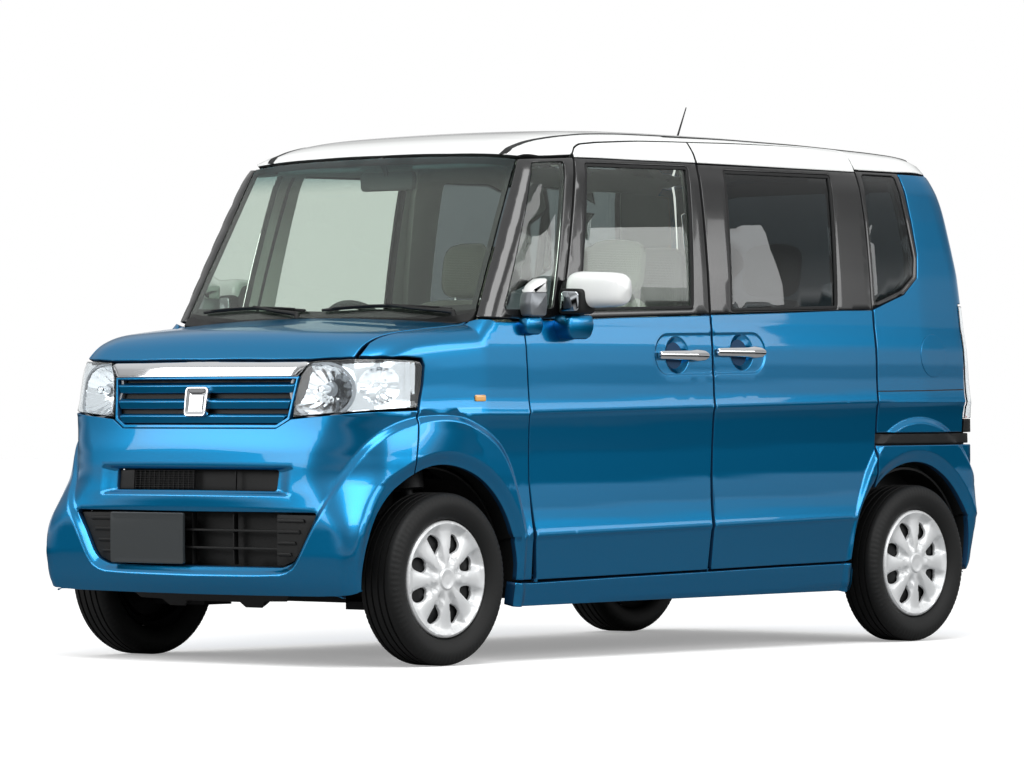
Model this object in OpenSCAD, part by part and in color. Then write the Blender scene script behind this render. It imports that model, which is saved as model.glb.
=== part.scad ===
// Tall two-box kei car: right-hand drive, two hinged front doors, two sliding rear doors,
// lift-up tailgate and bonnet.  Millimetres, +Z up, the nose points to -Y and the car's
// left side is +X.  The origin is on the ground, at the middle of the overall box.

/* [Overall] */
// Overall length without plates
car_length = 3395; // [3380:1:3400]
// Overall width over the body sides
car_width = 1475; // [1465:1:1480]
// Distance between the axles
wheelbase = 2520; // [2510:1:2530]
// Distance between the wheel centres of one axle
track = 1305; // [1295:1:1315]
// Nose to front axle
front_overhang = 460; // [455:1:465]
/* [Wheels] */
// Outside radius of the tyre
tyre_r = 278.5; // [276:0.5:281]
// Width of the tyre
tyre_w = 155; // [145:1:160]
// Radius of the wheel cover, which is the rim's edge
rim_r = 196; // [190:1:198]
// Radius of the stub axles
axle_r = 15; // [12:1:18]
// Number of windows in a wheel cover
cover_windows = 8; // [6:1:10]
/* [Panels] */
// Gap between a moving panel and its neighbours
shut_gap = 6; // [5.5:0.5:7]
// Thickness of a door below its window
door_t = 72; // [60:1:76]
// Thickness of a door's window frame
frame_t = 40; // [32:1:44]
// Thickness of an outer skin such as roof or bonnet
skin_t = 22; // [18:1:26]
// Thickness of the window glass
glass_t = 4; // [3:0.5:5]
/* [Hidden] */
$fn = 48;
half_w = car_width / 2;
nose_y = -car_length / 2;
tail_y = car_length / 2;
front_axle_y = nose_y + front_overhang;
rear_axle_y = front_axle_y + wheelbase;
wheel_x = track / 2;
front_arch = [front_axle_y - 15, 290, 342]; // centre y, centre z, radius
rear_arch = [rear_axle_y - 13, 285, 345];
floor_half_w = 590;
fuel_lid_y = 1370;
fuel_lid_z = 1018;
fuel_lid_r = 80;
jack_y = [-790, 770];
jack_z = 172;
steering_hub = [-340, -532, 1000];
column_tilt = 25;
kingpin_low = [600, front_axle_y, 175];
kingpin_top = [505, front_axle_y, 800];

// ---- Curves of the body ----------------------------------------------------------------
// Half width of the body side against height: two creases, then the cabin leans in.
SECTION = [[178, 47], [200, 33], [265, 21], [300, 15], [430, 0], [500, 9], [600, 14],
           [700, 10], [830, 0], [950, 4], [1050, 10], [1120, 17], [1180, 23], [1300, 33],
           [1400, 43], [1500, 54], [1600, 69], [1665, 85], [1700, 99], [1734, 123],
           [1752, 147], [1765, 197], [1774, 290], [1779, 440], [1780, half_w]];
function side_x(z) = half_w - lookup(z, SECTION);
section_z = [for (s = SECTION) s[0]];
// Half widths of the nose in plan, at bumper level and at lamp level
NOSE_LOW = [[0, nose_y], [300, nose_y + 4], [500, nose_y + 17], [600, nose_y + 30],
            [660, nose_y + 44], [702, nose_y + 68], [727, nose_y + 110], [half_w, nose_y + 170]];
NOSE_HIGH = [[0, nose_y + 40], [350, nose_y + 52], [500, nose_y + 82], [600, nose_y + 128],
             [655, nose_y + 175], [692, nose_y + 240], [712, nose_y + 320],
             [726, nose_y + 450], [733, nose_y + 600], [half_w, nose_y + 750]];
// Half widths of the tail in plan
TAIL = [[half_w, tail_y - 190], [731, tail_y - 110], [712, tail_y - 52], [680, tail_y - 28],
        [600, tail_y - 14], [400, tail_y - 4], [0, tail_y]];
// Side profiles as [y, z]: roof crown, bonnet and windscreen, and the back
ROOF_LINE = [[-800, 1672], [-745, 1700], [-660, 1730], [-540, 1754], [-400, 1770],
             [-200, 1778], [0, 1780], [400, 1780], [800, 1775], [1200, 1763], [1500, 1748],
             [1590, 1738]];
BONNET_LINE = [[-1632, 1006], [-1615, 1040], [-1585, 1062], [-1450, 1092], [-1250, 1114],
               [-1125, 1126]];
BONNET_UNDERSIDE = [[-1622, 998], [-1600, 1016], [-1570, 1036], [-1440, 1070], [-1250, 1092],
                    [-1125, 1104]];
BACK_LINE = [[1700, 470], [1692, 700], [1682, 800], [1652, 1200], [1638, 1320],
             [1596, 1560], [1572, 1690], [1590, 1735]];
screen_foot = [-1100, 1122];
screen_head = [-782, 1672];

// ---- Helpers -----------------------------------------------------------------------------
// Extrudes an outline in (y, z) along X
module across(x0, x1) translate([x0, 0, 0]) rotate([90, 0, 90]) linear_extrude(x1 - x0) children();
// Extrudes an outline in (x, z) along Y
module along(y0, y1) translate([0, y1, 0]) rotate([90, 0, 0]) linear_extrude(y1 - y0) children();
// Extrudes an outline in (x, y) along Z
module upward(z0, z1) translate([0, 0, z0]) linear_extrude(z1 - z0) children();
// A piece and its mirror image on the right side
module both() {
    children();
    mirror([1, 0, 0]) children();
}
function backward(list) = [for (i = [len(list) - 1:-1:0]) list[i]];
function mirrored(list) = [for (p = list) [-p[0], p[1]]];
function inset(curve, t, dy) = [for (p = curve) [p[0] * (half_w - t) / half_w, p[1] + dy]];
function lowered(line, t) = [for (p = line) [p[0], p[1] - t]];
function shifted(line, t) = [for (p = line) [p[0] - t, p[1]]];
// Points of an arc about a centre [a, b], from angle a0 to a1
function arc(a, b, r, a0, a1, n) =
    [for (i = [0:n]) let (t = a0 + (a1 - a0) * i / n) [a + r * cos(t), b + r * sin(t)]];
// Two ends of a rounded corner at p, between its neighbours a and b
function corner(a, p, b, r) =
    let (u = (a - p) / norm(a - p), v = (b - p) / norm(b - p),
         h = acos(u * v) / 2, w = (u + v) / norm(u + v), c = p + w * r / sin(h),
         s = p + u * r / tan(h), e = p + v * r / tan(h), t0 = atan2(s[1] - c[1], s[0] - c[0]),
         raw = atan2(e[1] - c[1], e[0] - c[0]) - t0,
         turn = raw > 180 ? raw - 360 : raw < -180 ? raw + 360 : raw)
    arc(c[0], c[1], r, t0, t0 + turn, 5);
function rounded(pts, r) =
    [for (i = [0:len(pts) - 1])
        each corner(pts[(i + len(pts) - 1) % len(pts)], pts[i], pts[(i + 1) % len(pts)], r)];

// Wall of the left body side, from depth d0 to depth d1 under its outer surface
module side_wall(z0, z1, y0, y1, d0, d1) {
    zs = concat([z0], [for (z = section_z) if (z > z0 && z < z1) z], [z1]);
    along(y0, y1) polygon(concat([for (z = zs) [side_x(z) - d0, z]],
                                 [for (z = backward(zs)) [side_x(z) - d1, z]]));
}
// Shell that follows a nose curve, t thick, closed at its open end
module nose_shell(curve, t, z0, z1) {
    inner = inset(curve, t, t);
    upward(z0, z1) polygon(concat(backward(mirrored(curve)), curve,
        [[inner[len(inner) - 1][0], curve[len(curve) - 1][1] + 1]], backward(inner),
        mirrored(inner), [[-inner[len(inner) - 1][0], curve[len(curve) - 1][1] + 1]]));
}
// Everything inside a nose curve, back to the middle of the car
module nose_inside(curve, t, z0, z1)
    upward(z0, z1) polygon(concat(backward(mirrored(inset(curve, t, t))), inset(curve, t, t),
        [[half_w - t, 0], [t - half_w, 0]]));
// Everything inside the tail curve, with the same inset all round
module tail_inside(t, z0, z1)
    upward(z0, z1) polygon(concat([[half_w - t, 0]], inset(TAIL, t, -t),
        backward(mirrored(inset(TAIL, t, -t))), [[t - half_w, 0]]));
module disc_hole(arch, grow, x0, x1) translate([x0, arch[0], arch[1]]) rotate([0, 90, 0])
    cylinder(r = arch[2] + grow, h = x1 - x0);

// ---- Outlines in (y, z) ------------------------------------------------------------------
// A positive s makes the outline smaller all round.
function front_door_line(s) = concat(
    corner([106 - s, 279 + s], [-822 + s, 265 + s], [-843 + s, 599], 20),
    [[-843 + s, 599], [-850 + s, 815], [-868 + s, 1116 - s], [-664 + s, 1120 - s]],
    corner([-664 + s, 1120 - s], [-512 + s, 1711 - s], [112 - s, 1735 - s], 60),
    [[112 - s, 1735 - s], [111 - s, 1149], [106 - s, 279 + s]]);
function sliding_door_line(s) = concat(
    [[124 + s, 1741 - s], [118 + s, 1149], [112 + s, 279 + s]],
    corner([112 + s, 279 + s], [886 - s, 292 + s], [893 - s, 335], 24),
    arc(rear_arch[0], rear_arch[1], 380 + s, 172, 132, 6),
    [[1028 - s, 600], [1030 - s, 1300], [1018 - s, 1500]],
    corner([1018 - s, 1500], [986 - s, 1748 - s], [124, 1741 - s], 60));
front_window = [[-578, 1152], [26, 1168], [62, 1651], [-478, 1644]];
sliding_window = [[232, 1162], [828, 1179], [855, 1664], [255, 1659]];
quarter_window = [[-964, 1150], [-700, 1156], [-574, 1648], [-742, 1642]];
rear_quarter_window = [[1040, 1672], [1243, 1672], [1302, 1364], [1290, 1300], [1215, 1245],
                       [1040, 1196]];

// ---- Body shell --------------------------------------------------------------------------
// Bulkhead, toe board, floor and load floor in one pressing, narrower between the rear wheels
module floor_pan() color("dimgray") difference() {
    across(-floor_half_w, floor_half_w) {
        top = [[-1100, 1104], [-925, 1060], [-905, 460], [-760, 262], [560, 262], [650, 352],
               [1616, 352]];
        polygon(concat(top, backward([for (p = top) [p[0] - 14, p[1] - 24]])));
    }
    both() translate([535, 920, 200]) cube([200, 720, 300]);
}
// Rocker, door aperture ring with its pillars, and the screen pillar with its fixed window
module side_frame() {
    difference() {
        intersection() {
            union() {
                side_wall(268, 1150, -862, 1000, 98, 146);
                side_wall(1150, 1708, -862, 1000, 52, 100);
            }
            across(400, 800) polygon([[-862, 268], [900, 268], [1000, 620], [1000, 1290],
                [960, 1708], [-520, 1690], [-680, 1110], [-862, 1100]]);
        }
        across(400, 800) polygon(rounded([[-790, 330], [30, 336], [48, 1160], [78, 1684],
                                          [-480, 1668], [-640, 1150], [-790, 1060]], 40));
        across(400, 800) polygon(rounded([[190, 338], [820, 338], [930, 640], [940, 1290],
                                          [905, 1686], [200, 1684]], 40));
        translate([400, -1000, 100]) cube([floor_half_w - 400, 2200, 1060]);
    }
    // rocker under the doors, with its two jacking pads
    intersection() {
        union() {
            side_wall(180, 258, -900, 880, 0, 130);
            side_wall(256, 272, -816, 880, 86, 130);
        }
        across(floor_half_w, 800) polygon([[-900, 180], [880, 198], [880, 274], [-816, 274],
                                           [-816, 254], [-900, 254]]);
    }
    for (y = jack_y) translate([640, y - 30, jack_z]) cube([30, 60, 40]);
}
module screen_pillar() {
    difference() {
        intersection() {
            side_wall(1126, 1664, -1100, -520, 0, 44);
            across(400, 800) polygon([[-1052, 1126], [-674, 1126], [-531, 1664], [-764, 1664]]);
            nose_inside(NOSE_HIGH, 0, 1000, 1800);
        }
        across(400, 800) polygon(rounded(quarter_window, 18));
    }
    intersection() {
        side_wall(1126, 1664, -1100, -700, 0, 76);
        across(400, 800) polygon([screen_foot + [10, 0], screen_head + [10, 0],
                                  screen_head + [50, 0], screen_foot + [50, 0]]);
    }
}
module side_frames() both() {
    color("#2b2b2d") screen_pillar();
    color("#17689c") side_frame();
}
// Rear body side over the wheel, from the sliding door to the tailgate
module quarter_panels() color("#17689c") difference() {
    both() difference() {
        intersection() {
            union() {
                side_wall(706, 1664, 1036, tail_y, 0, 46);
                intersection() {
                    side_wall(706, 1640, 1540, tail_y, 0, 118);
                    difference() {
                        tail_inside(0, 700, 1700);
                        tail_inside(66, 690, 1710);
                    }
                }
            }
            across(400, 800) polygon(concat([[1036, 706]], [[1686, 706]],
                [for (p = BACK_LINE) if (p[1] > 750 && p[1] < 1664) [p[0] - 12, p[1]]],
                [[1562, 1664], [1030, 1664], [1036, 1300]]));
            tail_inside(0, 700, 1800);
        }
        across(400, 800) polygon(rounded(rear_quarter_window, 14));
        // room for the tailgate, whose slanted top corners rise as it opens
        for (rise = [0, 7]) translate([0, 0, rise])
            along(1400, 1800) polygon(tailgate_line(shut_gap));
        along(1400, 1800) polygon([[0, 1500], [650, 1500], [635, 1665], [0, 1665]]);
        translate([600, 1552, 785]) cube([200, 200, 419]);
    }
    // pocket behind the fuel lid, on the left side only
    translate([half_w - 34, fuel_lid_y, fuel_lid_z]) rotate([0, 90, 0])
        cylinder(r = fuel_lid_r + shut_gap, h = 60);
}
// White roof with the rails over the doors
module roof() color("white") {
    outer = concat([[tail_y, 0], [-850, 0]], [[-850, ROOF_LINE[0][1]]], ROOF_LINE,
                   [[tail_y, ROOF_LINE[11][1]]]);
    difference() {
        intersection() {
            along(-772, 1498) polygon(concat([for (z = section_z) if (z > 1660) [side_x(z), z]],
                backward([for (z = section_z) if (z > 1660) [-side_x(z), z]])));
            across(-half_w, half_w) polygon(outer);
        }
        intersection() {
            along(-900, tail_y) polygon(concat(
                [[side_x(1600) - 46, 1600]],
                [for (z = section_z) if (z > 1660) [max(side_x(z) - 46, 0), z - skin_t]],
                backward([for (z = section_z) if (z > 1660) [min(46 - side_x(z), 0), z - skin_t]]),
                [[46 - side_x(1600), 1600]]));
            across(-half_w, half_w) polygon(lowered(outer, skin_t));
        }
        both() {
            across(400, 800) polygon(front_door_line(-shut_gap));
            across(400, 800) polygon(sliding_door_line(-shut_gap));
        }
    }
}
module front_fenders() color("#17689c") both() difference() {
    intersection() {
        union() {
            nose_shell(NOSE_HIGH, 52, 200, 1118);
            nose_shell(NOSE_HIGH, 80, 1052, 1118);
        }
        union() {
            side_wall(200, 1118, -1560, -930, 0, 220);
            side_wall(200, 1118, -931, -800, 0, 10);
        }
        across(450, 800) polygon([[-1545, 994], [-1505, 1034], [-1444, 1070], [-1250, 1100],
            [-1060, 1118], [-874, 1114], [-856, 815], [-849, 599], [-828, 264], [-904, 262],
            [-904, 220], [front_arch[0], 560], [-1322, 640], [-1324, 820], [-1302, 990]]);
    }
    disc_hole(front_arch, 0, 400, 800);
}
// Nose below the lamps, with the wheel-arch ends and two air intakes
module front_bumper() color("#17689c") difference() {
    union() {
        intersection() {
            nose_shell(NOSE_LOW, 60, 226, 640);
            across(-800, 800) polygon([[nose_y - 10, 226], [-1560, 226], [-1330, 634],
                                       [nose_y - 10, 640]]);
        }
        intersection() {
            nose_shell([for (p = NOSE_HIGH) [p[0], p[1] - 22]], 70, 630, 788);
            across(-800, 800) polygon([[nose_y, 630], [-1330, 630], [-1330, 788],
                                       [nose_y + 20, 788]]);
        }
    }
    both() disc_hole(front_arch, 0, 400, 800);
    along(-1800, -1540) polygon([[-444, 752], [-370, 740], [370, 740], [444, 752], [444, 800],
                                 [-444, 800]]);
    along(-1800, -1540) polygon(rounded([[-360, 558], [360, 558], [368, 625], [-368, 625]], 8));
    along(-1800, -1540) polygon(rounded([[-423, 322], [423, 322], [544, 489], [-544, 489]], 20));
}
// Chrome bar over a slatted upper grille, and the dark slats in the two intakes
module grille() {
    color("silver") intersection() {
        nose_shell([for (p = NOSE_HIGH) [p[0], p[1] + 8]], 40, 936, 990);
        translate([-440, nose_y, 900]) cube([880, 400, 100]);
    }
    color("#17689c") intersection() {
        nose_shell([for (p = NOSE_HIGH) [p[0], p[1] + 6]], 34, 760, 932);
        across(-425, 425) polygon([[nose_y, 762], [nose_y + 300, 762], [nose_y + 300, 932],
                                   [nose_y + 26, 932]]);
    }
    color("#1c1c1e") intersection() {
        nose_shell(NOSE_LOW, 50, 240, 640);
        along(-1700, -1500) union() {
            for (z = [562, 583, 604]) translate([-358, z]) square([716, 8]);
            for (z = [326, 370, 414, 458])
                translate([-418 - (z - 322) * 0.7, z]) square([836 + (z - 322) * 1.4, 14]);
            for (x = [-200, 0, 200]) translate([x, 328]) square([10, 140]);
            for (x = [-200, 0, 200]) translate([x, 564]) square([10, 46]);
        }
        translate([-560, nose_y + 26, 200]) cube([1120, 200, 500]);
    }
}
module headlamps() color("gainsboro") both() intersection() {
    nose_shell(NOSE_HIGH, 130, 796, 984);
    across(446, 800) polygon([[nose_y + 30, 796], [-1330, 824], [-1308, 984], [nose_y + 60, 984]]);
    side_wall(796, 984, nose_y, -1290, 1, 400);
}
// Bumper and lower body behind the sliding door, with the back of the wheel arch
module rear_bumper() color("#17689c") difference() {
    intersection() {
        difference() {
            tail_inside(0, 262, 700);
            tail_inside(62, 200, 760);
        }
        across(-800, 800) polygon(concat([[1800, 262], [1800, 700], [1036, 700], [1036, 590]],
            arc(rear_arch[0], rear_arch[1], 374, 131, 180, 8), [[1000, 285], [1000, 262]]));
    }
    both() disc_hole(rear_arch, 0, 400, 800);
    along(1600, 1800) polygon([[-606, 474], [606, 474], [606, 760], [-606, 760]]);
}
module tail_lamps() color("firebrick") both() intersection() {
    tail_inside(0, 791, 1198);
    translate([646, 1558, 791]) cube([100, 200, 407]);
    across(0, 800) polygon([for (p = concat([[1500, 700]], BACK_LINE, [[1500, 1735]])) p]);
    side_wall(791, 1198, 1500, tail_y, 2, 200);
}
// Liners over the four wheels; the front ones are open round the strut
module wheel_arch_liners() color("#1c1c1e") both() {
    difference() {
        intersection() {
            translate([430, front_arch[0], front_arch[1]]) rotate([0, 90, 0])
                cylinder(r = front_arch[2] + 8, h = 220);
            nose_inside(NOSE_HIGH, 84, 200, 900);
        }
        disc_hole(front_arch, 2, 400, 800);
        translate([300, -1800, -400]) cube([500, 1200, 660]);
        strut_axis() translate([0, 0, -20]) cylinder(r = 82, h = 900);
        translate([400, -1330, 260]) cube([170, 230, 400]);
    }
    difference() {
        translate([542, rear_arch[0], rear_arch[1]]) rotate([0, 90, 0])
            cylinder(r = rear_arch[2] - 10, h = 130);
        translate([550, rear_arch[0], rear_arch[1]]) rotate([0, 90, 0])
            cylinder(r = rear_arch[2] - 18, h = 200);
        translate([500, 800, -400]) cube([400, 1200, 740]);
    }
}

// ---- Glass -------------------------------------------------------------------------------
module windscreen() color("lightblue", 0.4) intersection() {
    across(-648, 648) polygon([screen_foot, screen_head, screen_head + [6, 0],
                               screen_foot + [6, 0]]);
    along(-1200, -700) polygon([[-640, 1122], [640, 1122], [586, 1672], [-586, 1672]]);
}
module side_windows() both() {
    color("lightblue", 0.4) {
        side_glass(1150, 1648, quarter_window, 10, 18);
    }
    color("#3a3f42", 0.8) {
        side_glass(1160, 1664, sliding_window, 14, 14);
        side_glass(1196, 1663, rear_quarter_window, 8, 14);
    }
}
module side_glass(z0, z1, outline, depth, r) intersection() {
    side_wall(z0, z1, -1000, 1400, depth, depth + glass_t);
    across(400, 800) polygon(rounded(shrunk(outline, 0.8), r));
}
// Moves the corners of a window outline towards its middle
function shrunk(pts, s) =
    let (n = len(pts), c = [for (k = [0, 1]) [for (p = pts) p[k]] * [for (p = pts) 1 / n]])
    [for (p = pts) p - s * 2 * (p - c) / norm(p - c)];

// ---- Doors and lids ----------------------------------------------------------------------
// Skin, inner panel and window frame of a side door; line is the outline function's result
module door_slab(line, inner_line, window) difference() {
    intersection() {
        union() {
            side_wall(250, 1760, -900, 1050, 0, 26);
            intersection() {
                union() {
                    side_wall(250, 1140, -900, 1050, 25, door_t);
                    side_wall(1139, 1760, -900, 1050, 25, frame_t);
                }
                across(400, 800) polygon(inner_line);
            }
        }
        across(400, 800) polygon(line);
    }
    across(400, 800) polygon(rounded(window, 14));
}
// Bar handle over its two feet
module door_handle(y, z) color("silver") {
    translate([half_w + 16, y - 88, z]) rotate([-90, 0, 0]) cylinder(r = 12, h = 176);
    for (s = [-68, 68]) translate([half_w - 2, y + s - 10, z - 9]) cube([18, 20, 18]);
}
module front_door() {
    color("#17689c") door_slab(front_door_line(0), front_door_line(14), front_window);
    translate([4.4, 0, 0]) door_handle(-10, 1008);
}
module front_door_glass() color("lightblue", 0.4) side_glass(1150, 1652, front_window, 12, 14);
module sliding_doors() both() {
    color("#17689c") difference() {
        door_slab(sliding_door_line(0), sliding_door_line(14), sliding_window);
        disc_hole(rear_arch, 6, 400, 800);
    }
    translate([4.4, 0, 0]) door_handle(290, 1020);
}
// Mirror head on its foot at the front of the door
module door_mirror() {
    color("white") hull() {
        translate([790, -640, 1230]) scale([1, 0.62, 1]) sphere(r = 58, $fn = 24);
        translate([892, -600, 1226]) scale([1, 0.62, 1]) sphere(r = 46, $fn = 24);
    }
    color("black") hull() {
        translate([736, -690, 1140]) cube([40, 80, 30]);
        translate([762, -665, 1180]) cube([50, 50, 10]);
    }
    color("#17689c") translate([0, -700, 0]) along(0, 96)
        polygon([[735.8, 1062], [778, 1078], [784, 1112], [776, 1138], [735.8, 1138]]);
}
module bonnet() color("#17689c") intersection() {
    across(-half_w, half_w) polygon(concat(BONNET_LINE, backward(BONNET_UNDERSIDE)));
    union() {
        nose_inside(NOSE_HIGH, 87, 900, 1200);
        nose = [for (p = NOSE_HIGH) [p[0] * 0.76, p[1] + 41]];
        upward(900, 1200) polygon(concat(backward(mirrored(nose)), nose));
    }
}
// Outline of the tailgate in (x, z), grown by s
function tailgate_line(s) =
    let (right = [[598, 480 - s], [598, 780 - s], [638, 786 - s], [638, 1204], [652, 1240], [644, 1560],
                  [599, 1668], [590, 1672], [590, 1750 + s]],
         grown = [for (p = right) [p[0] + s, p[1]]])
    concat(grown, backward(mirrored(grown)));
TAILGATE_WINDOW = [[-560, 1165], [560, 1165], [530, 1640], [-530, 1640]];
module tailgate() color("#17689c") difference() {
    intersection() {
        union() {
            across(-660, 660) polygon(concat(BACK_LINE, backward(shifted(BACK_LINE, 60))));
            across(-590, 590) polygon([[1504, 1672], [1532, 1672], [1590, 1700], [1594, 1736],
                                       [1504, 1748]]);
        }
        along(1400, 1800) polygon(tailgate_line(0));
        tail_inside(0, 400, 1800);
    }
    along(1400, 1800) polygon(rounded(TAILGATE_WINDOW, 40));
    across(-700, 700) polygon([[1400, 1600], [1498, 1600], [1498, 1800], [1400, 1800]]);
    // recess for the number plate, with its two screw holes
    along(1660, 1800) polygon([[-180, 800], [180, 800], [180, 990], [-180, 990]]);
    for (x = [-105, 105]) translate([x, 1640, 965]) rotate([-90, 0, 0]) cylinder(r = 3.5, h = 40);
}
module tailgate_glass() color("#3a3f42", 0.8) intersection() {
    across(-600, 600) polygon(concat(shifted(BACK_LINE, 10), backward(shifted(BACK_LINE, 15))));
    along(1400, 1800) polygon(rounded([[-559, 1166], [559, 1166], [529, 1639], [-529, 1639]], 39));
}
module fuel_lid() color("#17689c") intersection() {
    side_wall(900, 1150, 1270, 1500, 0, 7);
    translate([half_w - 60, fuel_lid_y, fuel_lid_z]) rotate([0, 90, 0])
        cylinder(r = fuel_lid_r, h = 100);
}

// ---- Cabin -------------------------------------------------------------------------------
// Dashboard across the car with the column shroud on the right
module dashboard() color("#55575a") {
    across(-575, 575) polygon([[-1078, 1104], [-1000, 1112], [-760, 1088], [-690, 1050],
        [-640, 970], [-640, 860], [-720, 780], [-720, 620], [-880, 600], [-880, 1056],
        [-915, 1063]]);
    translate(steering_hub) rotate([column_tilt - 90, 0, 0]) translate([0, 0, -170])
        cylinder(r1 = 50, r2 = 34, h = 140);
}
module steering_wheel() color("#2b2b2d") translate(steering_hub) rotate([column_tilt, 0, 0])
    rotate([-90, 0, 0]) {
        rotate_extrude() translate([170, 0]) circle(r = 15, $fn = 24);
        cylinder(r = 60, h = 30, center = true);
        translate([0, 0, -28]) cylinder(r = 26, h = 20);
        for (a = [0, 180, 270]) rotate([0, 0, a]) translate([40, -16, -8]) cube([122, 32, 16]);
    }
// One seat: cushion, reclined back and headrest, facing the nose
module seat(x, w, y, z) translate([x, y, z]) {
    across(-w / 2, w / 2) polygon(rounded([[-250, 0], [230, -10], [240, 110], [-250, 130]], 30));
    across(-w / 2, w / 2) polygon(rounded([[180, 112], [290, 112], [400, 640], [320, 650]], 30));
    across(-150, 150) polygon(rounded([[330, 655], [420, 650], [440, 850], [360, 860]], 25));
}
module front_seats() color("#77736b") for (x = [-330, 330]) {
    seat(x, 500, -330, 560);
    translate([x - 230, -560, 330]) cube([460, 460, 226]);
}
module rear_seat() color("#77736b") for (x = [-270, 270]) {
    seat(x, 510, 620, 570);
    translate([x - 220, 420, 356]) cube([440, 380, 202]);
}

// ---- Running gear ------------------------------------------------------------------------
// Places its children on the kingpin axis, from the lower joint upwards
module strut_axis() translate(kingpin_low)
    rotate([0, -atan2(kingpin_low[0] - kingpin_top[0], kingpin_top[2] - kingpin_low[2]), 0])
        children();
// Crossmember with lower arms, strut towers and the two side rails
module front_suspension() color("#2b2b2d") {
    translate([-330, -1300, 196]) cube([660, 150, 54]);
    both() {
        translate([320, -1290, 174]) cube([246, 130, 26]);
        translate([330, -1612, 420]) cube([60, 680, 90]);
        translate([330, -1290, 240]) cube([60, 130, 190]);
        translate([400, -1310, 806]) cube([200, 170, 12]);
        translate([385, -1300, 480]) cube([15, 150, 330]);
    }
}
// Steering knuckle with its strut, spring seat and stub axle
module knuckle() color("#3c3c3e") {
    strut_axis() {
        translate([0, 0, 57]) cylinder(r = 19, h = 360);
        translate([0, 0, 395]) cylinder(r = 56, h = 200);
        translate([0, 0, 0]) cylinder(r = 16, h = 70);
    }
    translate([552, front_axle_y - 45, 215]) cube([18, 90, 130]);
    translate([560, front_axle_y, tyre_r]) rotate([0, 90, 0]) cylinder(r = axle_r, h = 92);
}
// Twist beam with trailing arms, springs and the rear stub axles
module rear_axle() color("#2b2b2d") {
    translate([-480, 1010, 250]) cube([960, 70, 60]);
    both() {
        translate([440, 820, 252]) cube([60, 520, 56]);
        translate([498, rear_axle_y - 45, 240]) cube([66, 90, 80]);
        translate([560, rear_axle_y, tyre_r]) rotate([0, 90, 0]) cylinder(r = axle_r, h = 92);
        translate([470, 1130, 306]) cylinder(r = 42, h = 18);
    }
}
module engine() color("#8d9094") {
    translate([-250, -1560, 330]) cube([500, 400, 520]);
}
module fuel_tank() color("#1c1c1e") translate([-430, -420, 186]) cube([860, 620, 48]);
module exhaust() color("#9a9a98") {
    translate([-120, 1130, 285]) rotate([0, 90, 0]) cylinder(r = 38, h = 400);
    translate([120, -1100, 212]) rotate([-90, 0, 0]) cylinder(r = 22, h = 500);
}
module wipers() color("black") {
    for (x = [[-560, 10], [30, 590]])
        hull() {
            translate([x[0], -1112, 1140]) sphere(r = 9, $fn = 16);
            translate([x[1], -1098, 1160]) sphere(r = 7, $fn = 16);
        }
}
module antenna() color("black") translate([0, 800, 1778]) rotate([-25, 0, 0]) {
    cylinder(r1 = 4, r2 = 3, h = 150);
}

// ---- Wheels ------------------------------------------------------------------------------
// The profile is [radius, distance from the middle plane], and outboard is +X on the left
module tyre() color("#1c1c1e") rotate([0, 90, 0]) rotate_extrude($fn = 96) {
    h = tyre_w / 2;
    polygon([[rim_r - 11, -h + 24], [rim_r - 6, -h + 12], [rim_r + 14, -h + 3], [232, -h],
             [256, -h + 6], [272, -h + 16], [tyre_r, -h + 32], [tyre_r, h - 32],
             [272, h - 16], [256, h - 6], [232, h], [rim_r + 14, h - 3], [rim_r - 6, h - 12],
             [rim_r - 11, h - 24]]);
}
// Steel wheel with its cover: barrel, disc with windows, and the hub bored for the stub axle
module wheel() color("#d9dadb") difference() {
    rotate([0, 90, 0]) {
        rotate_extrude($fn = 96) {
            h = tyre_w / 2;
            polygon([[rim_r - 18, -h + 22], [rim_r - 11.4, -h + 22], [rim_r - 11.4, h - 22],
                     [rim_r - 6.4, h - 11], [rim_r, h - 6], [rim_r, h - 1],
                     [rim_r - 14, h + 3], [60, h - 4], [0, h - 4], [0, h - 14], [60, h - 14],
                     [rim_r - 22, h - 10], [rim_r - 18, h - 26]]);
            polygon([[0, -24], [62, -24], [70, 0], [70, h - 12], [0, h - 12]]);
        }
    }
    for (i = [0:cover_windows - 1]) rotate([(i + 0.5) * 360 / cover_windows, 0, 0])
        translate([tyre_w / 2 - 40, 0, 0]) rotate([90, 0, 90]) linear_extrude(60)
            polygon([[84, -10], [140, -30], [150, 0], [140, 30], [84, 10]]);
    translate([-30, 0, 0]) rotate([0, 90, 0]) cylinder(r = axle_r + 0.1, h = 40);
}
module on_axle(side, y) translate([side * wheel_x, y, tyre_r]) mirror([side < 0 ? 1 : 0, 0, 0])
    children();

// ---- Assembly ----------------------------------------------------------------------------
floor_pan();
side_frames();
quarter_panels();
roof();
front_fenders();
front_bumper();
rear_bumper();
wheel_arch_liners();
windscreen();
side_windows();
sliding_doors();
grille();
headlamps();
tail_lamps();
dashboard();
front_seats();
rear_seat();
front_suspension();
rear_axle();
engine();
fuel_tank();
exhaust();
wipers();
antenna();
front_door();  // front_door_left
front_door_glass();  // front_door_glass_left
door_mirror();  // mirror_left
mirror([1, 0, 0]) front_door();  // front_door_right
mirror([1, 0, 0]) front_door_glass();  // front_door_glass_right
mirror([1, 0, 0]) door_mirror();  // mirror_right
bonnet();
tailgate();
tailgate_glass();
fuel_lid();
steering_wheel();
knuckle();  // knuckle_left
mirror([1, 0, 0]) knuckle();  // knuckle_right
on_axle(1, front_axle_y) tyre();  // tyre_front_left
on_axle(1, front_axle_y) wheel();  // wheel_front_left
on_axle(-1, front_axle_y) tyre();  // tyre_front_right
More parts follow.
